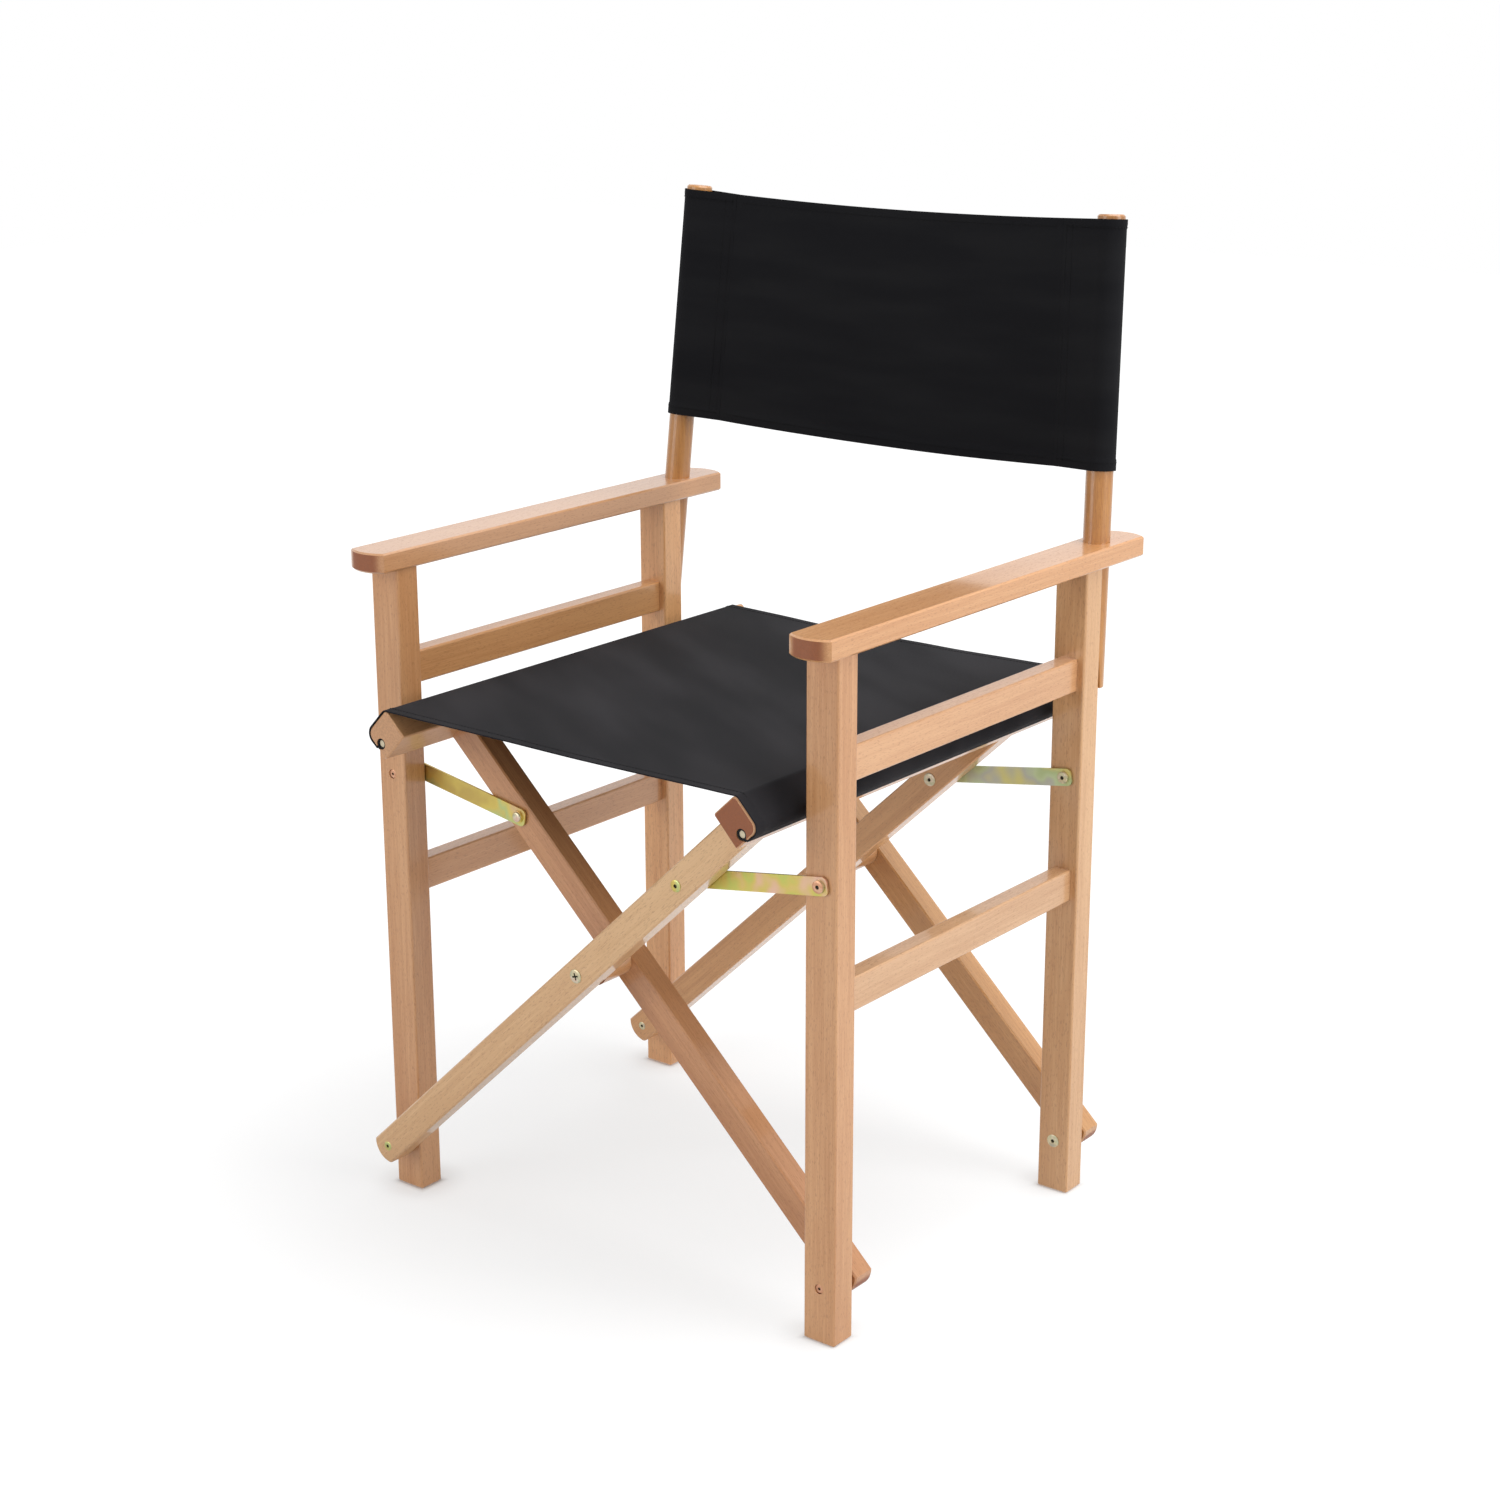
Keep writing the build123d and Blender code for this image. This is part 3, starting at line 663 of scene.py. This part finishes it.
# %% The line of the seat
def seat_half():
    """The right half of the seat's line, from the middle of the seat to its end beside the rod."""
    rise = CLOTH_GAP + CLOTH / 2
    bend = RAIL_CORNER + rise
    inner = on_rail(RAIL_DEPTH / 2 - RAIL_CORNER, RAIL_WIDTH / 2 - RAIL_CORNER)
    outer_bend = RAIL_OUTER_CORNER + rise
    outer = on_rail(RAIL_DEPTH / 2 - RAIL_OUTER_CORNER, RAIL_OUTER_CORNER - RAIL_WIDTH / 2)
    sag = 2 * math.degrees(math.atan(SEAT_SAG / inner[0]))
    radius = inner[0] / math.sin(math.radians(sag))
    centre = (0.0, inner[1] + radius * math.cos(math.radians(sag)))
    line = [(0.0, centre[1] - radius + bend)]
    line += arc(centre, radius - bend, 270.0, 270.0 + sag, 30)
    line += arc(inner, bend, 90.0 + sag, BAR_ANGLE, 8)
    line += run(line[-1], (outer[0] + outer_bend * COS, outer[1] + outer_bend * SIN), 6)
    line += arc(outer, outer_bend, BAR_ANGLE, BAR_ANGLE - 90.0, 12)
    below = -RAIL_WIDTH / 2 - rise
    lip = GROOVE_ALONG + GROOVE_NECK + LIP_TURN
    turn_at = on_rail(lip, below + LIP_TURN)
    line += run(line[-1], on_rail(lip, below), 4)
    line += arc(turn_at, LIP_TURN, BAR_ANGLE - 90.0, BAR_ANGLE - 180.0, 5)
    loop = ROD_RADIUS + CLOTH_GAP + CLOTH / 2
    start = -math.degrees(math.acos(GROOVE_NECK / loop))
    drop = math.sqrt(loop * loop - GROOVE_NECK * GROOVE_NECK)
    line += run(line[-1], on_rail(GROOVE_ALONG + GROOVE_NECK, ROD_ACROSS - drop), 3)
    rod = on_rail(GROOVE_ALONG, ROD_ACROSS)
    line += arc(rod, loop, BAR_ANGLE + start, BAR_ANGLE + 180.0 - start, 22)
    line += run(line[-1], on_rail(GROOVE_ALONG - GROOVE_NECK, below + LIP_TURN), 3)
    return line


half = seat_half()
seat_line = [(-x, 0.0, z) for x, z in reversed(half[1:])] + [(x, 0.0, z) for x, z in half]
seat_across = lengths_along(seat_line)
print("seat line", len(seat_line), "points,", round(seat_across[-1], 4), "m long")

# %% Lay the seat canvas
SEAT_FRONT = -253.1 * MM
SEAT_REAR = 231.5 * MM
EDGE_BOW = 2.7 * MM
SEAT_HEM = 11.0 * MM
SEAT_HEM_SWELL = 0.4 * MM
SEAT_ROWS = 56
WRAP_START = 0.193
WRAP_END = 0.2405
WRAP_EASE = 0.006
FREE_HALF = RAIL_X - 8.0 * MM
RIPPLE_HALF = RAIL_X - 12.0 * MM
SOFT_RIPPLE = 2.0 * MM
FINE_RIPPLE = 0.5 * MM
seat_length = SEAT_REAR - SEAT_FRONT
seat_down = hemmed_rows(seat_length, SEAT_HEM, (4.0 * MM, 8.0 * MM), SEAT_ROWS)


def seat_ripple(x, y):
    """The slight unevenness of a stretched seat, which dies out towards the rails."""
    free = max(0.0, 1.0 - (x / RIPPLE_HALF) ** 2)
    along = x * math.cos(SEAT_SLANT) - y * math.sin(SEAT_SLANT)
    across = x * math.sin(SEAT_SLANT) + y * math.cos(SEAT_SLANT)
    soft = noise.noise(Vector((along * 3.0 + 3.0, across * 13.0, 0.4)))
    fine = noise.noise(Vector((along * 7.0, across * 24.0 + 5.0, 2.1)))
    return free * (SOFT_RIPPLE * soft + FINE_RIPPLE * fine)


def seat_place(column, row):
    """A point of the seat: its free edges are drawn in, and its hems stand out on the rails."""
    x, _, z = seat_line[column]
    down = seat_down[row]
    free = max(0.0, 1.0 - (x / RAIL_X) ** 2)
    y = SEAT_FRONT + down + EDGE_BOW * free * (1.0 - 2.0 * down / seat_length)
    if abs(x) < FREE_HALF and z > RAIL_Z:
        return (x, y, z + seat_ripple(x, y))
    from_middle = abs(seat_across[column] - seat_across[-1] / 2)
    on_wrap = min(from_middle - WRAP_START, WRAP_END - from_middle) / WRAP_EASE
    if min(down, seat_length - down) > SEAT_HEM or on_wrap <= 0.0:
        return (x, y, z)
    way = Vector(seat_line[column + 1]) - Vector(seat_line[column - 1])
    out = Vector((-way.z, 0.0, way.x)).normalized() * (SEAT_HEM_SWELL * min(1.0, on_wrap))
    return (x + out.x, y, z + out.z)


seat = thicken(cut_cloth("seat_canvas", seat_across, seat_down, seat_place, seat_cloth))
print("seat canvas", len(seat.data.polygons), "faces")

# %% [markdown]
# ## The back canvas
# The back is one strip whose two ends are turned round the uprights and sewn down behind with two rows
# of stitches, which makes a sleeve on each side. Each sleeve is laid round its own upright, flush with
# the panel in front and lapped behind it, and the panel tucks into both sleeves at the seams, so that
# the chair can fold without tearing the cloth.

# %% The uprights that carry the back
ARMREST_TOP = 616.0 * MM
LEG_LENGTH = 598.0 * MM
UPRIGHT_RADIUS = 12.2 * MM
LEAN_IN = math.tan(math.radians(2.3))
BACK_ANGLE = math.radians(5.1)
LEAN_BACK = math.tan(BACK_ANGLE)
REAR_BACK = 188.2 * MM
BACK_FOOT = 679.0 * MM
BACK_HEIGHT = 216.0 * MM
SLEEVE_REACH = 47.0 * MM
up = Vector((-LEAN_IN, LEAN_BACK, 1.0)).normalized()
outward = Vector((1 + LEAN_BACK**2, LEAN_IN * LEAN_BACK, LEAN_IN)).normalized()
rearward = up.cross(outward)
foot_out = LEG_X - LEAN_IN * (BACK_FOOT - ARMREST_TOP)
foot_back = REAR_BACK + UPRIGHT_RADIUS / math.cos(BACK_ANGLE)
upright_foot = Vector((foot_out, foot_back + LEAN_BACK * (BACK_FOOT - LEG_LENGTH), BACK_FOOT))
sleeve_length = BACK_HEIGHT * math.sqrt(1 + LEAN_IN**2 + LEAN_BACK**2)


def by_upright(side, across, behind, height):
    """A point beside an upright: across is outwards from its axis, and height is along it."""
    point = upright_foot + outward * across + rearward * behind + up * height
    return Vector((point.x * side, point.y, point.z))


print("upright foot", [round(v, 4) for v in upright_foot])

# %% The plan of a sleeve
FRONT_SEAM = 0.05 * MM
REAR_SEAM = 1.25 * MM


def touch(radius, seam):
    """Where a straight run from a seam meets the upright, as an angle from straight behind it."""
    return math.acos(radius / math.hypot(SLEEVE_REACH, seam)) + math.atan(seam / SLEEVE_REACH)


def sleeve_line():
    """The plan of a sleeve, from the seam in front, round the upright, to the seam behind."""
    radius = UPRIGHT_RADIUS + CLOTH_GAP + CLOTH / 2
    start = math.degrees(touch(radius, FRONT_SEAM)) - 180.0
    end = 180.0 - math.degrees(touch(radius, REAR_SEAM))
    line = [(-SLEEVE_REACH, -FRONT_SEAM)]
    first = (radius * math.cos(math.radians(start)), radius * math.sin(math.radians(start)))
    line += run(line[-1], first, 12)
    line += arc((0.0, 0.0), radius, start, end, 30)
    line += run(line[-1], (-SLEEVE_REACH, REAR_SEAM), 12)
    return line


sleeve_plan = sleeve_line()
sleeve_across = lengths_along([(x, y, 0.0) for x, y in sleeve_plan])
print("sleeve", round(sleeve_across[-1], 4), "m round")

# %% Sleeves
BACK_HEM = 9.0 * MM
BACK_HEM_SWELL = 0.55 * MM
BACK_ROWS = 48
PUCKER = 0.35 * MM
PUCKER_FROM = -16.0 * MM
FLAT_SWELL_SHARE = 0.6
SLEEVE_CUT_START = 0.18
back_down = hemmed_rows(sleeve_length, BACK_HEM, (4.0 * MM,), BACK_ROWS)


def hem_swell(height):
    """How far a turned hem stands out at a height."""
    return BACK_HEM_SWELL if min(height, sleeve_length - height) <= BACK_HEM else 0.0


def make_sleeve(name, side):
    """One sleeve, laid round its upright; the left one is laid mirrored."""

    def place(column, row):
        """A point of the sleeve: its hems stand out, and it puckers beside the seams."""
        x, y = sleeve_plan[column]
        height = back_down[row]
        swell = hem_swell(height)
        grow, flat_grow = 1.0, 0.0
        if x > -SLEEVE_REACH / 2:
            grow += swell / math.hypot(x, y)
        else:
            flat_grow = math.copysign(swell, y) * FLAT_SWELL_SHARE
        pucker = PUCKER * noise.noise(Vector((x * 60.0, height * 34.0 + side, y * 40.0)))
        free = 1.0 if x < PUCKER_FROM else 0.0
        return by_upright(side, x * grow, y * grow + flat_grow + pucker * free, height)

    across = [side * (SLEEVE_CUT_START + d) for d in sleeve_across]
    return thicken(cut_cloth(name, across, back_down, place, back_cloth))


sleeve_right = make_sleeve("back_sleeve_right", 1)
sleeve_left = make_sleeve("back_sleeve_left", -1)
print("sleeves", len(sleeve_right.data.polygons), "faces each")

# %% Panel
TUCK = 11.0 * MM
PANEL_COLUMNS = 64
BACK_DROOP = 4.0 * MM
PANEL_WAVE = 2.2 * MM
SEAM_PULL = 1.2 * MM
seam_x = by_upright(1, -SLEEVE_REACH, 0.0, sleeve_length / 2).x
panel_half = seam_x + TUCK
panel_across = [-panel_half + 2 * panel_half * k / PANEL_COLUMNS for k in range(PANEL_COLUMNS + 1)]


def panel_place(column, row):
    """A point of the panel: straight across between the sleeves, with its middle hanging a little."""
    height = back_down[row]
    t = column / PANEL_COLUMNS
    left = by_upright(-1, -SLEEVE_REACH + TUCK, 0.0, height)
    right = by_upright(1, -SLEEVE_REACH + TUCK, 0.0, height)
    point = left.lerp(right, t)
    hang = 4.0 * t * (1.0 - t)
    soft = noise.noise(Vector((point.x * 7.0, point.z * 9.0, 7.7)))
    pull = noise.noise(Vector((point.x * 5.0, point.z * 42.0, 3.1)))
    by_seam = min(1.0, 6.0 * hang) * (1.0 - hang) ** 2
    swell = hem_swell(height) * 0.5 * min(1.0, 4.0 * hang)
    point.z -= BACK_DROOP * hang
    point.y += hang * PANEL_WAVE * soft + by_seam * SEAM_PULL * pull - swell
    return point


panel = thicken(cut_cloth("back_panel", panel_across, back_down, panel_place, back_cloth))
print("back panel", round(2 * panel_half, 4), "m wide,", len(panel.data.polygons), "faces")

# %% [markdown]
# ## Sewing
# Black thread on black cloth hardly shows, but a row of stitches is what makes a seam read as sewn. A
# bump would be lost at the cloth's edge, so one stitch is modelled as a small bevelled bar, and copies
# of it are laid along a line of points on the cloth, each turned along the line and half sunk in it.

# %% Copies of one shape
def copied(name, shape, place):
    """A copy of a shape with its own mesh, moved and turned by a matrix."""
    mesh = shape.data.copy()
    mesh.transform(place)
    copy = bpy.data.objects.new(name, mesh)
    bpy.context.scene.collection.objects.link(copy)
    return copy


def join_copies(name, copies):
    """Joins copies as one piece."""
    bpy.ops.object.select_all(action="DESELECT")
    for copy in copies:
        copy.select_set(True)
    bpy.context.view_layer.objects.active = copies[0]
    bpy.ops.object.join()
    joined = bpy.context.object
    joined.name = name
    return joined


print("copies ready")

# %% A seam
STITCH_PITCH = 3.4 * MM
STITCH_SIZE = (2.5 * MM, 0.6 * MM, 0.5 * MM)
STITCH_BEVEL = 0.16 * MM


def one_stitch():
    """A stitch of a few dozen faces, lying along X."""
    bpy.ops.object.select_all(action="DESELECT")
    bpy.ops.mesh.primitive_cube_add(size=1.0)
    stitch = bpy.context.object
    bpy.ops.transform.resize(value=STITCH_SIZE)
    bpy.ops.object.transform_apply(location=False, rotation=False, scale=True)
    bpy.ops.object.mode_set(mode="EDIT")
    bpy.ops.mesh.select_all(action="SELECT")
    bpy.ops.mesh.bevel(offset=STITCH_BEVEL, segments=1)
    bpy.ops.object.mode_set(mode="OBJECT")
    return stitch


def stitch_places(seam):
    """The places of a seam's stitches, as matrices; a seam is a line of (point, way out)."""
    points = [Vector(point) for point, _ in seam]
    outs = [Vector(out) for _, out in seam]
    reach = lengths_along(points)
    count = int(reach[-1] / STITCH_PITCH)
    places = []
    at = 0
    for k in range(count):
        want = (k + 0.5) * reach[-1] / count
        while at < len(reach) - 2 and reach[at + 1] < want:
            at += 1
        t = (want - reach[at]) / max(reach[at + 1] - reach[at], 1e-9)
        along = (points[at + 1] - points[at]).normalized()
        out = outs[at].lerp(outs[at + 1], t).normalized()
        side = out.cross(along).normalized()
        turn = Matrix((along, side, out)).transposed().to_4x4()
        places.append(Matrix.Translation(points[at].lerp(points[at + 1], t)) @ turn)
    return places


def sew(name, seams):
    """Lays stitches along the seams and joins them as one piece."""
    stitch = one_stitch()
    copies = [copied(name, stitch, place) for seam in seams for place in stitch_places(seam)]
    bpy.data.objects.remove(stitch)
    sewn = join_copies(name, copies)
    paint(sewn, thread)
    print(name, len(copies), "stitches")
    return sewn


print("one stitch every", STITCH_PITCH, "m")

# %% Sew the sleeves
SEAM_COLUMNS = (1, 3)
SEAM_POINTS = 40
HEM_STITCH = BACK_HEM - 1.8 * MM
hem_heights = (HEM_STITCH, sleeve_length - HEM_STITCH)
heights = [sleeve_length * k / SEAM_POINTS for k in range(1, SEAM_POINTS)]
last = len(sleeve_plan) - 1


def on_sleeve(side, column, height):
    """A point on the outside of a sleeve and the way out of the cloth there."""
    x, y = sleeve_plan[column]
    before = sleeve_plan[max(column - 1, 0)]
    after = sleeve_plan[min(column + 1, last)]
    way = Vector((after[0] - before[0], after[1] - before[1], 0.0)).normalized()
    out = Vector((way.y, -way.x, 0.0))
    lift = CLOTH / 2 + hem_swell(height)
    point = by_upright(side, x + out.x * lift, y + out.y * lift, height)
    normal = by_upright(side, x + out.x, y + out.y, height) - by_upright(side, x, y, height)
    return (point, normal.normalized())


for side, name in ((1, "stitches_sleeve_right"), (-1, "stitches_sleeve_left")):
    seams = [column for near in SEAM_COLUMNS for column in (near, last - near)]
    rows = [[on_sleeve(side, column, h) for h in heights] for column in seams]
    rows += [[on_sleeve(side, column, h) for column in range(1, last)] for h in hem_heights]
    sewn = sew(name, rows)
    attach(sewn, "right_frame" if side > 0 else "left_frame")

# %% Sew the hems of the panel and the seat
STITCH_LIFT = CLOTH / 2 + 0.1 * MM
SEAT_STITCH = 8.0 * MM
SEAT_SEWN_HALF = RAIL_X + 6.0 * MM
SEAT_SEWN_LOW = RAIL_Z + 14.0 * MM


def nearest_row(down, distance):
    """The row of a cloth that lies nearest to a distance from its edge."""
    return min(range(len(down)), key=lambda row: abs(down[row] - distance))


def panel_row(height, front):
    """The line of a hem's stitches on the front or rear of the panel."""
    way = rearward * (-1.0 if front else 1.0)
    row = nearest_row(back_down, height)
    shift = up * (height - back_down[row]) + way * STITCH_LIFT
    return [(panel_place(column, row) + shift, way) for column in range(3, PANEL_COLUMNS - 2)]


def seat_row(distance):
    """The line of a hem's stitches on top of the seat."""
    row = nearest_row(seat_down, distance)
    line = []
    for column, (x, _, z) in enumerate(seat_line):
        if abs(x) < SEAT_SEWN_HALF and z > SEAT_SEWN_LOW:
            point = Vector(seat_place(column, row)) + Vector((0.0, 0.0, STITCH_LIFT))
            line.append((point, (0.0, 0.0, 1.0)))
    return line


panel_rows = [panel_row(h, front) for h in hem_heights for front in (True, False)]
panel_stitches = sew("stitches_panel", panel_rows)
seat_rows = [seat_row(SEAT_STITCH), seat_row(seat_length - SEAT_STITCH)]
seat_stitches = sew("stitches_seat", seat_rows)

# %% [markdown]
# ## How the cloth is tied to the frame
# When the chair folds, the seat rails swing up and together. Here the imported slings are hidden, the
# seat and its stitches are baked where they lie, each sleeve is tied to its own upright, and the panel
# and its stitches are tied to the left frame. The panel reaches into both sleeves, so the seams have
# cloth to spare.

# %% Tie the cloth to the frame
for piece in (seat, seat_stitches):
    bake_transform(piece)
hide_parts("seat_sling")
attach(sleeve_left, "left_frame")
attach(sleeve_right, "right_frame")
for piece in (panel, panel_stitches):
    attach(piece, "left_frame")
    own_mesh(piece)
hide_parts("back_sling")
print("cloth tied to the frame")

# %% [markdown]
# ## Bolt heads
# Each pivot is a sleeve nut pushed through the wood and a screw driven into it from the other side. Its
# ends show as small zinc discs with a drive recess: a hexagon in most, a cross in the crossings, and a
# plain dome on the rivets of the straps. That is too fine for the imported model, so it is added here.
# The walls and floor of each recess get a near-black zinc, which is painted shade.
# Each kind of head is modelled once, lying flat, and copied to its places.

# %% The recess in a head
HEAD_SIDES = 24
SIDE_ANGLE = 360.0 / HEAD_SIDES
CROSS_ARM = 0.24
CROSS_HALFWAY = 0.62


def recess_edge(kind, angle, size):
    """Where a corner of the head's top, at an angle in degrees, goes on the edge of the recess."""
    if kind == "hexagon":
        turn = math.radians(angle)
        far = size / math.cos(math.radians((angle + 30.0) % 60.0 - 30.0))
    else:
        arm = CROSS_ARM * size
        nearest = round(angle / 90.0) * 90.0
        turned = angle - nearest
        corner = round(abs(turned) / SIDE_ANGLE)
        along = (size, size, CROSS_HALFWAY * size, arm)[corner]
        across = math.copysign(arm, turned) if corner else 0.0
        turn = math.radians(nearest) + math.atan2(across, along)
        far = math.hypot(along, across)
    return (far * math.cos(turn), far * math.sin(turn))


print("corners in a recess", HEAD_SIDES)

# %% Model the heads
HEAD_WALL = 0.5
HEAD_DOME = ((0.07, 0.22), (0.15, 0.18), (0.22, 0.10))
RECESS_RIM = 0.1
RECESS_DEPTH = 0.8


def rise_by(height):
    """Extrudes the chosen face upwards."""
    bpy.ops.mesh.extrude_region_move(TRANSFORM_OT_translate={"value": (0.0, 0.0, height)})


def bolt_head(radius, height, kind, size, metal=bolt_zinc):
    """A domed head that faces +Z, with a recess of the kind asked for."""
    bpy.ops.object.select_all(action="DESELECT")
    bpy.ops.mesh.primitive_circle_add(vertices=HEAD_SIDES, radius=radius, fill_type="NGON")
    head = bpy.context.object
    bpy.ops.object.mode_set(mode="EDIT")
    bpy.ops.mesh.select_mode(type="FACE")
    bpy.ops.mesh.select_all(action="SELECT")
    rise_by(height * HEAD_WALL)
    for inward, rise in HEAD_DOME:
        bpy.ops.mesh.inset(thickness=radius * inward)
        bpy.ops.transform.translate(value=(0.0, 0.0, height * rise))
    if kind != "dome":
        bpy.ops.mesh.inset(thickness=radius * RECESS_RIM)
        bpy.ops.object.mode_set(mode="OBJECT")
        top = next(face for face in head.data.polygons if face.select)
        for index in top.vertices:
            vertex = head.data.vertices[index]
            angle = math.degrees(math.atan2(vertex.co.y, vertex.co.x))
            even_angle = round(angle / SIDE_ANGLE) * SIDE_ANGLE
            vertex.co.x, vertex.co.y = recess_edge(kind, even_angle, size)
        bpy.ops.object.mode_set(mode="EDIT")
        rise_by(-height * RECESS_DEPTH)
    bpy.ops.object.mode_set(mode="OBJECT")
    chosen = [face.index for face in head.data.polygons if face.select]
    bpy.ops.object.mode_set(mode="EDIT")
    bpy.ops.mesh.select_all(action="SELECT")
    bpy.ops.mesh.normals_make_consistent(inside=False)
    bpy.ops.object.mode_set(mode="OBJECT")
    head.data.materials.append(metal)
    head.data.materials.append(painted_socket_shade)
    # The recess's walls and floor get the near-black zinc, which is painted shade.
    if kind != "dome":
        for index in chosen:
            head.data.polygons[index].material_index = 1
    return finish_piece(head)


HEADS = {
    "small": bolt_head(4.1 * MM, 0.7 * MM, "hexagon", 1.5 * MM),
    "warm": bolt_head(4.1 * MM, 0.7 * MM, "hexagon", 1.2 * MM, coppery_zinc),
    "wide": bolt_head(5.3 * MM, 0.9 * MM, "hexagon", 1.7 * MM),
    "wide_warm": bolt_head(5.3 * MM, 0.9 * MM, "hexagon", 1.7 * MM, coppery_zinc),
    "gilt": bolt_head(4.5 * MM, 0.8 * MM, "hexagon", 1.5 * MM, strap_zinc),
    "wide_gilt": bolt_head(5.3 * MM, 0.9 * MM, "hexagon", 1.7 * MM, strap_zinc),
    "flange": bolt_head(6.2 * MM, 1.0 * MM, "hexagon", 1.7 * MM),
    "cross": bolt_head(6.2 * MM, 1.0 * MM, "cross", 3.3 * MM),
    "dome": bolt_head(4.6 * MM, 1.6 * MM, "dome", 0.0),
}
print("heads", {kind: len(head.data.polygons) for kind, head in HEADS.items()})

# %% Where the heads go
LOWER_Z = 50.0 * MM
CROSSING_Z = 279.17 * MM
LINK_X = 112.85 * MM
LINK_Z = 386.26 * MM
STRAP_Z = 407.5 * MM
BARS_FRONT = -229.3 * MM
BARS_FRONT_SUNK = -228.9 * MM
STRAP_FRONT = -207.3 * MM
LEG_FRONT = -202.8 * MM
RIVET_BACK = -201.95 * MM
LEG_FRONT_SUNK = -201.6 * MM
LEG_BACK_SUNK = -178.0 * MM
RIVET_FRONT = -177.65 * MM
STRAP_BACK = -172.3 * MM
BARS_BACK = -150.3 * MM
PAIR = 365.0 * MM
AT_FRONT = (0.0,)
AT_REAR = (PAIR,)
BOTH = (0.0, PAIR)
FORWARD = 90.0
BACKWARD = -90.0
PLACES = [
    ("bars_rising_right", "gilt", -LEG_X, BARS_FRONT_SUNK, LOWER_Z, FORWARD, AT_FRONT),
    ("bars_rising_right", "small", -LEG_X, BARS_FRONT_SUNK, LOWER_Z, FORWARD, AT_REAR),
    ("bars_rising_right", "small", -LEG_X, LEG_BACK_SUNK, LOWER_Z, BACKWARD, BOTH),
    ("bars_rising_left", "warm", LEG_X, LEG_FRONT_SUNK, LOWER_Z, FORWARD, AT_FRONT),
    ("bars_rising_left", "flange", LEG_X, LEG_FRONT, LOWER_Z, FORWARD, AT_REAR),
    ("bars_rising_left", "wide", LEG_X, BARS_BACK, LOWER_Z, BACKWARD, BOTH),
    ("bars_rising_right", "cross", 0.0, BARS_FRONT, CROSSING_Z, FORWARD, BOTH),
    ("bars_rising_right", "cross", 0.0, BARS_BACK, CROSSING_Z, BACKWARD, BOTH),
    ("bars_rising_right", "wide_gilt", LINK_X, BARS_FRONT, LINK_Z, FORWARD, AT_FRONT),
    ("bars_rising_right", "flange", LINK_X, BARS_FRONT, LINK_Z, FORWARD, AT_REAR),
    ("bars_rising_left", "wide", -LINK_X, BARS_BACK, LINK_Z, BACKWARD, BOTH),
    ("right_frame", "wide_warm", LEG_X, STRAP_FRONT, STRAP_Z, FORWARD, AT_FRONT),
    ("right_frame", "wide", LEG_X, STRAP_FRONT, STRAP_Z, FORWARD, AT_REAR),
    ("right_frame", "small", LEG_X, LEG_BACK_SUNK, STRAP_Z, BACKWARD, BOTH),
    ("left_frame", "warm", -LEG_X, LEG_FRONT_SUNK, STRAP_Z, FORWARD, BOTH),
    ("left_frame", "wide", -LEG_X, STRAP_BACK, STRAP_Z, BACKWARD, BOTH),
    ("right_straps", "dome", LINK_X, RIVET_BACK, LINK_Z, BACKWARD, BOTH),
    ("left_straps", "dome", -LINK_X, RIVET_FRONT, LINK_Z, FORWARD, BOTH),
]
print("heads to place", sum(len(place[-1]) for place in PLACES))

# %% Place the heads
SPIN = 17.0
SPIN_AT_REAR = 40.0
SPIN_ALONG_X = 900.0
groups = {}
for body, kind, x, y, z, way, pairs in PLACES:
    turn = Matrix.Rotation(math.radians(way), 4, "X")
    for pair in pairs:
        spin_angle = SPIN + SPIN_AT_REAR * (pair > 0.0) + SPIN_ALONG_X * x
        spin = Matrix.Rotation(math.radians(spin_angle), 4, "Z")
        place = Matrix.Translation((x, y + pair, z)) @ turn @ spin
        head = copied(f"bolt_heads_{body}", HEADS[kind], place)
        groups.setdefault(body, []).append(head)
for head in HEADS.values():
    bpy.data.objects.remove(head)
for body, copies in groups.items():
    joined = join_copies(f"bolt_heads_{body}", copies)
    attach(joined, body)
print("bolt heads placed on", sorted(groups))
